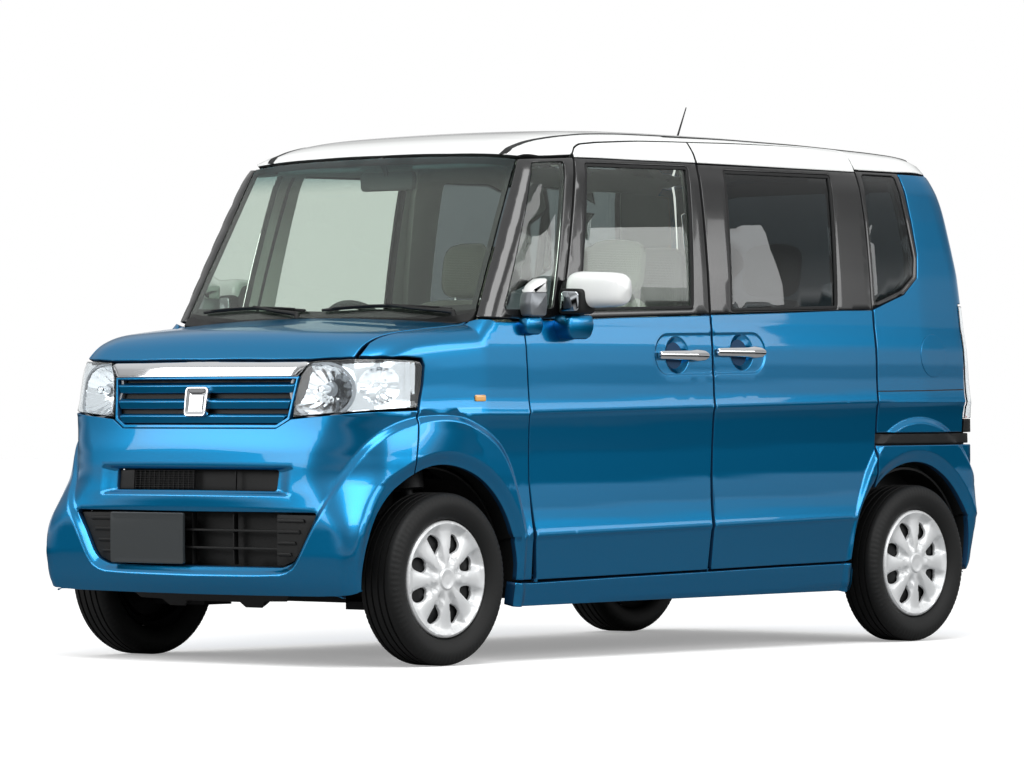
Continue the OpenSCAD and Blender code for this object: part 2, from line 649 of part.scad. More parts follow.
on_axle(-1, front_axle_y) wheel();  // wheel_front_right
on_axle(1, rear_axle_y) tyre();  // tyre_rear_left
on_axle(1, rear_axle_y) wheel();  // wheel_rear_left
on_axle(-1, rear_axle_y) tyre();  // tyre_rear_right
on_axle(-1, rear_axle_y) wheel();  // wheel_rear_right
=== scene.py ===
"""Looks of a tall kei car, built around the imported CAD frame.

Lengths inside the classes are millimetres in the CAD frame (nose towards -Y, the car's left
side +X, +Z up), and the mesh builders turn them into metres.
"""

import logging
import math
from dataclasses import dataclass, field
from enum import Enum
from typing import Callable, Iterable, Optional, Sequence

import bpy
import numpy as np
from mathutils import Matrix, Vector
from mathutils.geometry import delaunay_2d_cdt


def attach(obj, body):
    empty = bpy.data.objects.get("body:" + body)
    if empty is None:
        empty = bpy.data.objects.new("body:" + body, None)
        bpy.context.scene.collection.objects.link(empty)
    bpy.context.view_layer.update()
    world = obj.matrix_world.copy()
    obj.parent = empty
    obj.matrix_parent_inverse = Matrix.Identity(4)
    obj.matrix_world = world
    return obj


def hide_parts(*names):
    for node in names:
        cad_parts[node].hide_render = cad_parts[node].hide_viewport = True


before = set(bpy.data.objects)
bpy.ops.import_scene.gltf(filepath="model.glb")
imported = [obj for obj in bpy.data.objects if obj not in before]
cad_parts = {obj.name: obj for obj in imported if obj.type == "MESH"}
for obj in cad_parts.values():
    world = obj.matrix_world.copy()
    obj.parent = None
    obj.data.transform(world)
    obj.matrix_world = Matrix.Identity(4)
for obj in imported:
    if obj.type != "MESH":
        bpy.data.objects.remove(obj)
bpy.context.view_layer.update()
LOG = logging.getLogger("kei_car")
MM = 0.001
Points = np.ndarray
# Heights in metres between which the screen's shade band fades in
SHADE_BAND = (1.545, 1.655)

# --- Materials ---


def linear(hex_colour: str) -> tuple[float, float, float, float]:
    """Turn an sRGB hex colour into linear RGBA."""
    channels = [int(hex_colour.lstrip("#")[i:i + 2], 16) / 255 for i in (0, 2, 4)]
    straight = [c / 12.92 if c <= 0.04045 else ((c + 0.055) / 1.055) ** 2.4 for c in channels]
    return (*straight, 1.0)


def add_node(tree: bpy.types.NodeTree, kind: str, settings: Optional[dict] = None,
             inputs: Optional[dict] = None) -> bpy.types.Node:
    """Add a node with its settings, values and links.

    Args:
        tree: node tree to add to.
        kind: Blender's node type name.
        settings: attributes of the node.
        inputs: socket name or index to a value, or to an output socket to link from.
    Returns:
        The new node.
    """
    node = tree.nodes.new(kind)
    for name, value in (settings or {}).items():
        setattr(node, name, value)
    for name, value in (inputs or {}).items():
        socket = node.inputs[name]
        if isinstance(value, bpy.types.NodeSocket):
            tree.links.new(value, socket)
        else:
            socket.default_value = value
    return node


def seen_plainly(tree: bpy.types.NodeTree) -> bpy.types.NodeSocket:
    """1 for what is seen directly or through glass, and 0 for what lights the car."""
    path = add_node(tree, "ShaderNodeLightPath")
    return add_node(tree, "ShaderNodeMath", {"operation": "MAXIMUM"}, {
        0: path.outputs["Is Camera Ray"], 1: path.outputs["Is Transmission Ray"]}).outputs[0]


class Slot(Enum):
    """Material slots of the part's record."""

    BODY = "body_paint"
    ROOF = "roof_paint"
    PILLAR = "pillar_gloss"
    PLASTIC = "black_plastic"
    CHROME = "chrome"
    CLEAR = "clear_glass"
    DARK = "dark_glass"
    LAMP = "lamp_lens"
    TRIM = "trim"
    CLOTH = "seat_cloth"
    UNDERBODY = "underbody"
    ENGINE = "engine_metal"
    EXHAUST = "exhaust_steel"
    RUBBER = "rubber"
    TYRE = "tyre"
    WHEEL = "wheel_silver"


@dataclass(frozen=True)
class Finish:
    """A surface finish: how a material looks and how it was made.

    Attributes:
        name: plain name of the material.
        colour: sRGB hex of its body colour.
        metallic, roughness, ior, coat, coat_roughness, transmission: shader values.
        grain_mm: size of the surface grain, 0 for none.
        grain_depth: strength of the grain's bump.
        shade: share by which the colour varies over the surface.
        shade_mm: size of that variation.
        weave: draw the grain as crossed threads and not as random grain.
        rough_spread: how much the roughness varies with the grain.
        clear_to_light: sRGB hex of the light that a pane lets through, or empty.
        sheen: strength of the soft edge light of cloth.
        slot: slot of the record that it belongs to.
        top_band: sRGB hex of the shade band along the top of a screen, or empty.
        edge_tint: sRGB hex that a metallic base turns to at a grazing look, or empty for white.
    """

    name: str
    colour: str
    metallic: float = 0.0
    roughness: float = 0.5
    ior: Optional[float] = 1.5
    coat: float = 0.0
    coat_roughness: float = 0.03
    transmission: float = 0.0
    grain_mm: float = 0.0
    grain_depth: float = 0.1
    shade: float = 0.0
    shade_mm: float = 60.0
    weave: bool = False
    rough_spread: float = 0.06
    clear_to_light: str = ""
    sheen: float = 0.0
    slot: Slot = Slot.TRIM
    top_band: str = ""
    edge_tint: str = ""

    def material(self) -> bpy.types.Material:
        """Build the material once and hand back the same one later.

        Returns:
            The material.
        """
        found = bpy.data.materials.get(self.name)
        if found:
            return found
        made = bpy.data.materials.new(self.name)
        made.use_nodes = True
        tree = made.node_tree
        tree.nodes.clear()
        shader = add_node(tree, "ShaderNodeBsdfPrincipled", inputs={
            "Base Color": linear(self.colour), "Metallic": self.metallic,
            "Roughness": self.roughness, "Coat Weight": self.coat,
            "Coat Roughness": self.coat_roughness, "Transmission Weight": self.transmission,
            "Sheen Weight": self.sheen})
        if self.edge_tint:
            shader.inputs["Specular Tint"].default_value = linear(self.edge_tint)
        if self.ior is not None:
            shader.inputs["IOR"].default_value = self.ior
        place = add_node(tree, "ShaderNodeTexCoord").outputs["Object"]
        self._shade(tree, shader, place)
        self._grain(tree, shader, place)
        surface = shader.outputs[0]
        if self.clear_to_light:
            # lamps and the sky reach the cabin through the pane, with its tint
            path = add_node(tree, "ShaderNodeLightPath")
            open_pane = add_node(tree, "ShaderNodeBsdfTransparent",
                                 inputs={"Color": linear(self.clear_to_light)})
            surface = add_node(tree, "ShaderNodeMixShader", inputs={
                0: path.outputs["Is Shadow Ray"], 1: surface, 2: open_pane.outputs[0]}).outputs[0]
        add_node(tree, "ShaderNodeOutputMaterial", inputs={"Surface": surface})
        return made

    def _shade(self, tree: bpy.types.NodeTree, shader: bpy.types.Node,
               place: bpy.types.NodeSocket) -> None:
        """Vary the colour softly over the surface, as batches, dust and wear do.

        Args:
            tree: the material's nodes.
            shader: its surface shader.
            place: coordinates on the object.
        """
        if self.top_band:
            self._band(tree, shader, place)
        if not self.shade:
            return
        noise = add_node(tree, "ShaderNodeTexNoise", inputs={
            "Vector": place, "Scale": 1 / (self.shade_mm * MM), "Detail": 3.0, "Roughness": 0.55})
        body = linear(self.colour)
        darker = tuple(c * (1 - self.shade) for c in body[:3]) + (1.0,)
        lighter = tuple(min(1.0, c * (1 + self.shade)) for c in body[:3]) + (1.0,)
        mix = add_node(tree, "ShaderNodeMix", {"data_type": "RGBA"}, {
            "Factor": noise.outputs["Fac"]})
        mix.inputs[6].default_value, mix.inputs[7].default_value = darker, lighter
        tree.links.new(mix.outputs[2], shader.inputs["Base Color"])

    def _band(self, tree: bpy.types.NodeTree, shader: bpy.types.Node,
              place: bpy.types.NodeSocket) -> None:
        """Tint the top of a screen, fading in between two heights.

        Args:
            tree: the material's nodes.
            shader: its surface shader.
            place: coordinates on the object.
        """
        height = add_node(tree, "ShaderNodeSeparateXYZ", inputs={"Vector": place}).outputs["Z"]
        share = add_node(tree, "ShaderNodeMapRange", {"interpolation_type": "SMOOTHSTEP"}, {
            "Value": height, "From Min": SHADE_BAND[0], "From Max": SHADE_BAND[1]})
        mix = add_node(tree, "ShaderNodeMix", {"data_type": "RGBA"}, {
            "Factor": share.outputs[0]})
        mix.inputs[6].default_value = linear(self.colour)
        mix.inputs[7].default_value = linear(self.top_band)
        tree.links.new(mix.outputs[2], shader.inputs["Base Color"])

    def _grain(self, tree: bpy.types.NodeTree, shader: bpy.types.Node,
               place: bpy.types.NodeSocket) -> None:
        """Give the surface its moulded grain, weave or orange peel as bump and roughness.

        Args:
            tree: the material's nodes.
            shader: its surface shader.
            place: coordinates on the object.
        """
        if not self.grain_mm:
            return
        scale = 1 / (self.grain_mm * MM)
        if self.weave:
            waves = [add_node(tree, "ShaderNodeTexWave", {"bands_direction": axis}, {
                "Vector": place, "Scale": scale / 6.28, "Distortion": 0.4}).outputs["Fac"]
                for axis in ("X", "Z")]
            height = add_node(tree, "ShaderNodeMath", {"operation": "MULTIPLY"},
                              {0: waves[0], 1: waves[1]}).outputs[0]
        else:
            height = add_node(tree, "ShaderNodeTexNoise", inputs={
                "Vector": place, "Scale": scale, "Detail": 2.0}).outputs["Fac"]
        bump = add_node(tree, "ShaderNodeBump", inputs={
            "Strength": self.grain_depth, "Distance": self.grain_mm * MM * 0.5, "Height": height})
        tree.links.new(bump.outputs[0], shader.inputs["Normal"])
        rough = add_node(tree, "ShaderNodeMapRange", inputs={
            "Value": height, "To Min": max(0.0, self.roughness - self.rough_spread),
            "To Max": min(1.0, self.roughness + self.rough_spread)})
        tree.links.new(rough.outputs[0], shader.inputs["Roughness"])


# Metallic base under clear lacquer: a deep blue that lightens where it faces the lamps.
# The flakes are about 0.05 mm and are drawn at 1.5 mm, because finer ones can't show.
BLUE_PAINT = Finish("metallic_blue_lacquer", "#0D76A8", metallic=0.96, roughness=0.3, ior=1.5,
                    edge_tint="#A9D4EC", coat=0.6, coat_roughness=0.03, shade=0.05,
                    shade_mm=1.5, slot=Slot.BODY)
# The same paint inside the shut lines, duller with no lacquer, and darker as a painted shade for
# the shadow in the gaps
SHADED_EDGE_PAINT = Finish("blue_flange_painted_shade", "#08395C", metallic=0.4, roughness=0.5, shade=0.08,
                    shade_mm=30, slot=Slot.BODY)
# Solid white two-pack paint, slightly warm, with a clear top coat
WHITE_PAINT = Finish("white_roof_lacquer", "#E9EBEA", roughness=0.35, coat=1.0,
                     coat_roughness=0.03, shade=0.012, shade_mm=200, slot=Slot.ROOF)
# Moulded black ABS with a hard gloss film, seen on window frames and pillars
PILLAR_GLOSS = Finish("gloss_pillar_film", "#121314", roughness=0.2, coat=0.6,
                      coat_roughness=0.05, shade=0.06, shade_mm=80, slot=Slot.PILLAR)
# Unpainted polypropylene with a fine etched grain
BLACK_PLASTIC = Finish("grained_black_polypropylene", "#090A0A", roughness=0.5, ior=1.4,
                       grain_mm=1.6, grain_depth=0.25, shade=0.12, shade_mm=50, slot=Slot.PLASTIC)
DARK_PLATE = Finish("dark_grey_plate_enamel", "#2E3335", roughness=0.38, coat=0.3, shade=0.04,
                    shade_mm=40, slot=Slot.PLASTIC)
# Rubber of seals and wiper blades
SEAL_RUBBER = Finish("epdm_seal_rubber", "#0D0E0F", roughness=0.7, grain_mm=1.2,
                     grain_depth=0.15, shade=0.1, shade_mm=30, slot=Slot.RUBBER)
# Chromium plate on ABS: a clean mirror, very slightly grey
CHROME = Finish("chromium_plate", "#D9DBDD", metallic=1.0, roughness=0.07, ior=None,
                shade=0.02, shade_mm=40, slot=Slot.CHROME)
REFLECTOR = Finish("aluminised_reflector", "#E3E5E7", metallic=1.0, roughness=0.12, ior=None,
                   shade=0.03, shade_mm=20, slot=Slot.LAMP)
# Satin grey moulding round the lamp bowls
BEZEL = Finish("satin_grey_polycarbonate", "#7C8084", metallic=0.6, roughness=0.35, shade=0.04,
               shade_mm=20, slot=Slot.LAMP)
# Laminated and toughened green-tinted soda-lime panes
CLEAR_GLASS = Finish("green_tinted_glass", "#DCE5DE", roughness=0.0, ior=1.45,
                     transmission=1.0, clear_to_light="#D7E4DC", slot=Slot.CLEAR)
# The laminated screen, with a blue-green shade band along its top
SCREEN_GLASS = Finish("banded_screen_glass", "#DCE5DE", roughness=0.0, ior=1.45,
                      transmission=1.0, clear_to_light="#D7E4DC", slot=Slot.CLEAR,
                      top_band="#4E7F82")
DARK_GLASS = Finish("privacy_glass", "#5A6366", roughness=0.0, ior=1.5, transmission=1.0,
                    clear_to_light="#5A6366", slot=Slot.DARK)
# Polycarbonate lamp covers
LENS = Finish("clear_polycarbonate", "#F6FAFC", roughness=0.0, ior=1.35, transmission=1.0,
              clear_to_light="#FFFFFF", slot=Slot.LAMP)
RED_LENS = Finish("red_acrylic", "#A3121A", roughness=0.12, ior=1.49, coat=0.6, shade=0.1,
                  shade_mm=12, slot=Slot.LAMP)
AMBER_LENS = Finish("amber_acrylic", "#D9A25C", roughness=0.15, ior=1.49, coat=0.5, shade=0.08,
                    shade_mm=8, slot=Slot.LAMP)
# Tyre rubber: near black, dull and a little dusty
TYRE_RUBBER = Finish("tyre_rubber", "#0B0C0C", roughness=0.6, ior=1.4, grain_mm=2.2,
                     grain_depth=0.2, shade=0.2, shade_mm=45, slot=Slot.TYRE)
# Silver wheel-cover lacquer: fine aluminium flake in clear coat
WHEEL_SILVER = Finish("silver_cover_lacquer", "#DEE0E1", metallic=0.4, roughness=0.42,
                      coat=0.3, coat_roughness=0.22, shade=0.03, shade_mm=2, slot=Slot.WHEEL)
STEEL_DARK = Finish("phosphated_steel", "#1D1E1F", metallic=0.6, roughness=0.55, grain_mm=3.0,
                    grain_depth=0.15, shade=0.15, shade_mm=40, slot=Slot.ENGINE)
UNDERSEAL = Finish("bitumen_underseal", "#141516", roughness=0.85, grain_mm=5.0,
                   grain_depth=0.35, shade=0.2, shade_mm=90, slot=Slot.UNDERBODY)
CAST_ALUMINIUM = Finish("sand_cast_aluminium", "#8A8D8F", metallic=0.9, roughness=0.5,
                        ior=None, grain_mm=3.0, grain_depth=0.2, shade=0.1, shade_mm=30,
                        slot=Slot.ENGINE)
STEEL_PIPE = Finish("aluminised_steel", "#8E8C86", metallic=0.9, roughness=0.4, ior=None,
                    shade=0.15, shade_mm=60, slot=Slot.EXHAUST)
# Moulded cabin plastics: grey-green, matt, with a leather-like grain
CABIN_TRIM = Finish("cabin_polypropylene", "#6E7370", roughness=0.6, grain_mm=2.0,
                    grain_depth=0.2, shade=0.05, shade_mm=60)
DARK_TRIM = Finish("dark_cabin_polypropylene", "#3A3D3C", roughness=0.6, grain_mm=2.0,
                   grain_depth=0.25, shade=0.06, shade_mm=60)
# Pale moulded covers on the insides of the pillars and rails
PILLAR_TRIM = Finish("pale_pillar_polypropylene", "#9DA29B", roughness=0.65, grain_mm=2.0,
                     grain_depth=0.15, shade=0.04, shade_mm=60)
# Knitted roof lining
LINING = Finish("knitted_lining", "#A9ADA6", roughness=0.9, grain_mm=3.0, grain_depth=0.2,
                shade=0.03, shade_mm=50, sheen=0.2)
# Woven seat cloth, drawn at 3 mm so that its threads can show
SEAT_CLOTH = Finish("woven_seat_cloth", "#77796F", roughness=0.88, grain_mm=3.0,
                    grain_depth=0.45, weave=True, shade=0.08, shade_mm=12, sheen=0.3,
                    slot=Slot.CLOTH)
CARPET = Finish("needle_felt_carpet", "#2C2D2C", roughness=0.95, grain_mm=4.0,
                grain_depth=0.5, shade=0.2, shade_mm=10, sheen=0.2)
MIRROR_GLASS = Finish("silvered_mirror", "#C8CDD2", metallic=1.0, roughness=0.02, ior=None,
                      shade=0.01, shade_mm=40, slot=Slot.CHROME)

# --- The body's outer surface ---


def table(pairs: Sequence[tuple[float, float]], smooth: float = 0.0) -> Callable:
    """A function through the given (argument, value) pairs.

    Args:
        pairs: the pairs, by rising argument.
        smooth: half width of the averaging that rounds the corners between them.
    Returns:
        A function of a number or array.
    """
    xs, ys = np.array(pairs, float).T
    if smooth:
        fine = np.linspace(xs[0] - smooth, xs[-1] + smooth, int((xs[-1] - xs[0]) / 1.5) + 2)
        offsets = np.linspace(-1, 1, 15) * smooth
        xs, ys = fine, sum(np.interp(fine + d, xs, ys) for d in offsets) / len(offsets)

    def value(at: Points) -> Points:
        """Value at an argument."""
        return np.interp(np.asarray(at), xs, ys)
    return value


def step(at: Points) -> Points:
    """Smooth step from 0 to 1 over 0 to 1."""
    t = np.clip(at, 0, 1)
    return t * t * (3 - 2 * t)


def round_max(a: Points, b: Points, k: Points) -> Points:
    """The larger of two fields, with the edge between them rounded over about k."""
    h = np.maximum(k - np.abs(a - b), 0) / k
    return np.maximum(a, b) + h * h * k / 4


def inside_by(y: Points, z: Points, outline: Sequence[tuple[float, float]]) -> Points:
    """How far points are inside an open crease line that runs left to right over them.

    Args:
        y, z: the points.
        outline: the crease as (y, z), by rising y.
    Returns:
        Distance to the crease, positive under it and negative outside.
    """
    line = np.array(outline, float)
    p = np.stack([np.asarray(y, float), np.asarray(z, float)], -1)[..., None, :]
    a, b = line[:-1], line[1:]
    d = b - a
    t = np.clip(((p - a) * d).sum(-1) / (d * d).sum(-1), 0, 1)
    gap = np.linalg.norm(p - (a + t[..., None] * d), axis=-1)
    cross = d[:, 0] * (p[..., 1] - a[:, 1]) - d[:, 1] * (p[..., 0] - a[:, 0])
    nearest = gap.argmin(-1)
    side = np.take_along_axis(cross, nearest[..., None], -1)[..., 0]
    return np.where(side < 0, 1, -1) * gap.min(-1)


def softened(line: Sequence) -> Points:
    """A polyline with its corners cut three times, so that it reads as a curve.

    Args:
        line: open polyline.
    Returns:
        The softened polyline.
    """
    line = np.array(line, float)
    for _ in range(3):
        a, b = line[:-1], line[1:]
        cut = np.stack([0.75 * a + 0.25 * b, 0.25 * a + 0.75 * b], 1).reshape(-1, line.shape[1])
        line = np.vstack([line[:1], cut, line[-1:]])
    return line


CREASE_RISE = 0.0195


@dataclass
class BodyShape:
    """Analytic outer surface of the shell, as fields that are negative inside.

    The side is a section over height that narrows towards the nose, with flares over the
    wheels; the nose, tail, bonnet, screen and roof are surfaces of their own, joined with
    rounded edges whose width changes with height.
    """

    half_width: float = 737.0
    crown: float = 1780.0
    flare_step: float = 21.0
    section: Callable = field(default_factory=lambda: table([
        (150, 684), (178, 690), (200, 703), (265, 714), (300, 718), (380, 726), (424, 731),
        (431, 736.5), (446, 733), (480, 728.5), (520, 725), (600, 721.5), (700, 723),
        (790, 728), (828, 731.5), (834, 737), (848, 734), (875, 731), (920, 729), (980, 728),
        (1040, 725.5), (1090, 720), (1120, 715.5), (1180, 711), (1300, 703), (1400, 693.5),
        (1500, 682.5), (1600, 668), (1665, 652), (1700, 638), (1734, 614), (1752, 590),
        (1765, 540), (1774, 447), (1779, 297), (1782, 0)], 3.5))
    low_ridge: Callable = field(default_factory=lambda: table([
        (380, 0), (424, 2.6), (431, 7.6), (446, 3.6), (480, 0.6), (520, 0)], 3.5))
    roof_line: Callable = field(default_factory=lambda: table([
        (-860, 1640), (-800, 1668), (-745, 1697), (-660, 1728), (-540, 1753), (-400, 1769),
        (-200, 1777), (0, 1779), (400, 1779), (800, 1774), (1200, 1762), (1500, 1747),
        (1592, 1737)], 40))
    nose: Callable = field(default_factory=lambda: table([
        (150, -1604), (226, -1652), (262, -1670), (300, -1678), (350, -1682), (480, -1683),
        (560, -1684), (640, -1682), (700, -1677), (760, -1667), (850, -1654), (933, -1642),
        (979, -1630), (1000, -1618), (1040, -1604), (1080, -1575), (1140, -1500)], 14))
    nose_crown: Callable = field(default_factory=lambda: table([
        (200, 12), (470, 16), (600, 42), (760, 56), (1000, 60), (1100, 60)], 30))
    nose_round: Callable = field(default_factory=lambda: table([
        (200, 44), (372, 42), (450, 60), (530, 130), (605, 190), (694, 170), (802, 125), (982, 135),
        (1045, 190), (1100, 240)], 30))
    bonnet_line: Callable = field(default_factory=lambda: table([
        (-1700, 960), (-1640, 1022), (-1600, 1056), (-1560, 1072), (-1450, 1091),
        (-1250, 1113), (-1100, 1128), (-1000, 1136)], 24))
    tail: Callable = field(default_factory=lambda: table([
        (150, 1650), (230, 1670), (272, 1688), (470, 1697), (700, 1691), (800, 1681),
        (1200, 1651), (1320, 1637), (1560, 1595), (1700, 1570), (1790, 1556)], 20))
    tail_round: Callable = field(default_factory=lambda: table([
        (300, 90), (800, 100), (1324, 112), (1559, 145), (1685, 215), (1760, 240)], 30))
    front_flare: tuple = (
        (0, -1690, 296), (402, -1675, 300), (448, -1675, 322), (474, -1670, 370),
        (506, -1666, 428), (556, -1658, 499), (614, -1621, 614), (655, -1598, 668),
        (683, -1570, 712), (711, -1530, 747), (727, -1470, 774), (731, -1391, 790),
        (731, -1300, 801), (731, -1210, 799), (731, -1120, 776), (731, -1040, 738),
        (731, -975, 690), (731, -925, 610), (731, -885, 500), (731, -866, 380),
        (731, -860, 150))
    rear_flare: tuple = ((866, 150), (876, 320), (903, 440), (938, 522), (990, 622),
                         (1060, 712), (1150, 770), (1269, 793), (1388, 778), (1480, 740),
                         (1560, 680), (1640, 590), (1720, 470), (1780, 300))
    lips: tuple = ((-1252.5, 290, 354, 402), (1269.5, 285, 352, 398))

    def side(self, y: Points, z: Points) -> Points:
        """Half width of the side at (y, z).

        Args:
            y, z: places along the side.
        Returns:
            The half widths.
        """
        drop = (self.crown - self.roof_line(y)) * step((z - 1600) / 100)
        rise = CREASE_RISE * (np.clip(y, -860, 1100) - 300) * step((1100 - z) / 200)
        wide = self.section(z + drop - rise)
        wide = wide - self.low_ridge(z - rise) * step((-1120 - y) / 240)
        ahead = np.maximum(-1050 - y, 0)
        wide = wide - 0.125 * ahead * ahead / (ahead + 60)
        behind = np.maximum(y - 1300, 0)
        return wide - 0.045 * behind * behind / (behind + 60)

    def lower(self, p: Points) -> Points:
        """Field of the body below the glass: nose, bonnet, sides and tail.

        Args:
            p: the points.
        Returns:
            The field, negative inside.
        """
        x, y, z = p[..., 0], p[..., 1], p[..., 2]
        side = np.abs(x) - self.side(y, z)
        front = self.nose(z) + self.nose_crown(z) * (x / 600) ** 2 - y
        body = round_max(side, front, self.nose_round(z))
        top = z - (self.bonnet_line(y) - 26 * (x / 610) ** 2)
        top = top - 0.9 * np.maximum(y + 1080, 0)
        body = round_max(body, top, 74.0)
        return self._with_tail(body, x, y, z)

    def cabin(self, p: Points) -> Points:
        """Field of the cabin: screen, sides, roof and tail.

        Args:
            p: the points.
        Returns:
            The field, negative inside.
        """
        x, y, z = p[..., 0], p[..., 1], p[..., 2]
        side = np.abs(x) - self.side(y, z)
        top = z - (self.roof_line(y) - 5 * (x / 400) ** 2)
        body = round_max(side, top, 12.0)
        body = round_max(body, (self.screen(x, z) - y) * 0.88, 44.0)
        return self._with_tail(body, x, y, z)

    def screen(self, x: Points, z: Points) -> Points:
        """Y of the windscreen at (x, z)."""
        return -1087 + (z - 1122) * 285 / 531 + 46 * (x / 625) ** 2

    def _with_tail(self, body: Points, x: Points, y: Points, z: Points) -> Points:
        """Close a field with the tail surface."""
        back = y - (self.tail(z) - 14 * (x / 600) ** 2)
        return round_max(body, back, self.tail_round(z))

    def bulge(self, p: Points, normals: Points, around: Points) -> Points:
        """How far the flares stand proud of the plain body, less the rolled arch lips.

        Args:
            p: surface points.
            normals: their outward normals.
            around: the points in the nose map, whose arcs run round the front corners.
        Returns:
            Height over the plain surface along the normal.
        """
        y, z = p[:, 1], p[:, 2]
        crease = np.array([(nose_arc(*c[:2]), c[2]) for c in softened(self.front_flare)])
        within = inside_by(np.abs(around[:, 0]), z, crease)
        front = step(within / self.flare_step + 0.5)
        rear = step(inside_by(y, z, softened(self.rear_flare)) / self.flare_step + 0.5)
        most = 14 + 50 * (1 - np.exp(-np.maximum(within, 0) / 120)) * step((-1150 - y) / 300)
        flat = np.clip(self.half_width - 1 - self.side(y, z), 0, most)
        facing = np.clip(normals[:, 0] ** 2 * 1.1, 0, 1)
        tall = flat * facing + 12 * (1 - facing)
        height = np.where(y < 0, front * tall, rear * flat * facing)
        height = np.where((z > 900) | (np.abs(y) > 1900), 0, height)
        for cy, cz, inner, outer in self.lips:
            ring = (outer - np.hypot(y - cy, z - cz)) / (outer - inner)
            height = height - 17 * step(ring) * facing
        return height


def nose_arc(x: float, y: float) -> float:
    """Arc of the nose map at a plan position."""
    return math.atan2(abs(x), -1000 - y) * 660


class Domain(Enum):
    """Flat maps of the surface, each drawn from its own line of origin."""

    SIDE = "side"
    FRONT = "front"
    TOP = "top"
    BACK = "back"
    NOSE = "nose"
    TAIL = "tail"
    SHOULDER = "shoulder"
    BONNET = "bonnet"
    CABIN = "cabin"
    ROOF = "roof"
    GATE = "gate"


@dataclass(frozen=True)
class Wrap:
    """A cylinder map: its axis runs through (a, b), and arcs are measured at a radius."""

    a: float
    b: float
    radius: float


WRAPS = {
    Domain.NOSE: Wrap(0, -1000, 660),
    Domain.TAIL: Wrap(0, 1000, 680),
    Domain.CABIN: Wrap(0, -250, 800),
    Domain.SHOULDER: Wrap(380, 760, 340),
    Domain.ROOF: Wrap(0, 1300, 520),
    Domain.BONNET: Wrap(-1250, 760, 400),
}


# The tailgate's map looks from this (y, z) through a plane this far behind it
GATE_EYE = (1000.0, 1150.0)
GATE_PLANE = 600.0


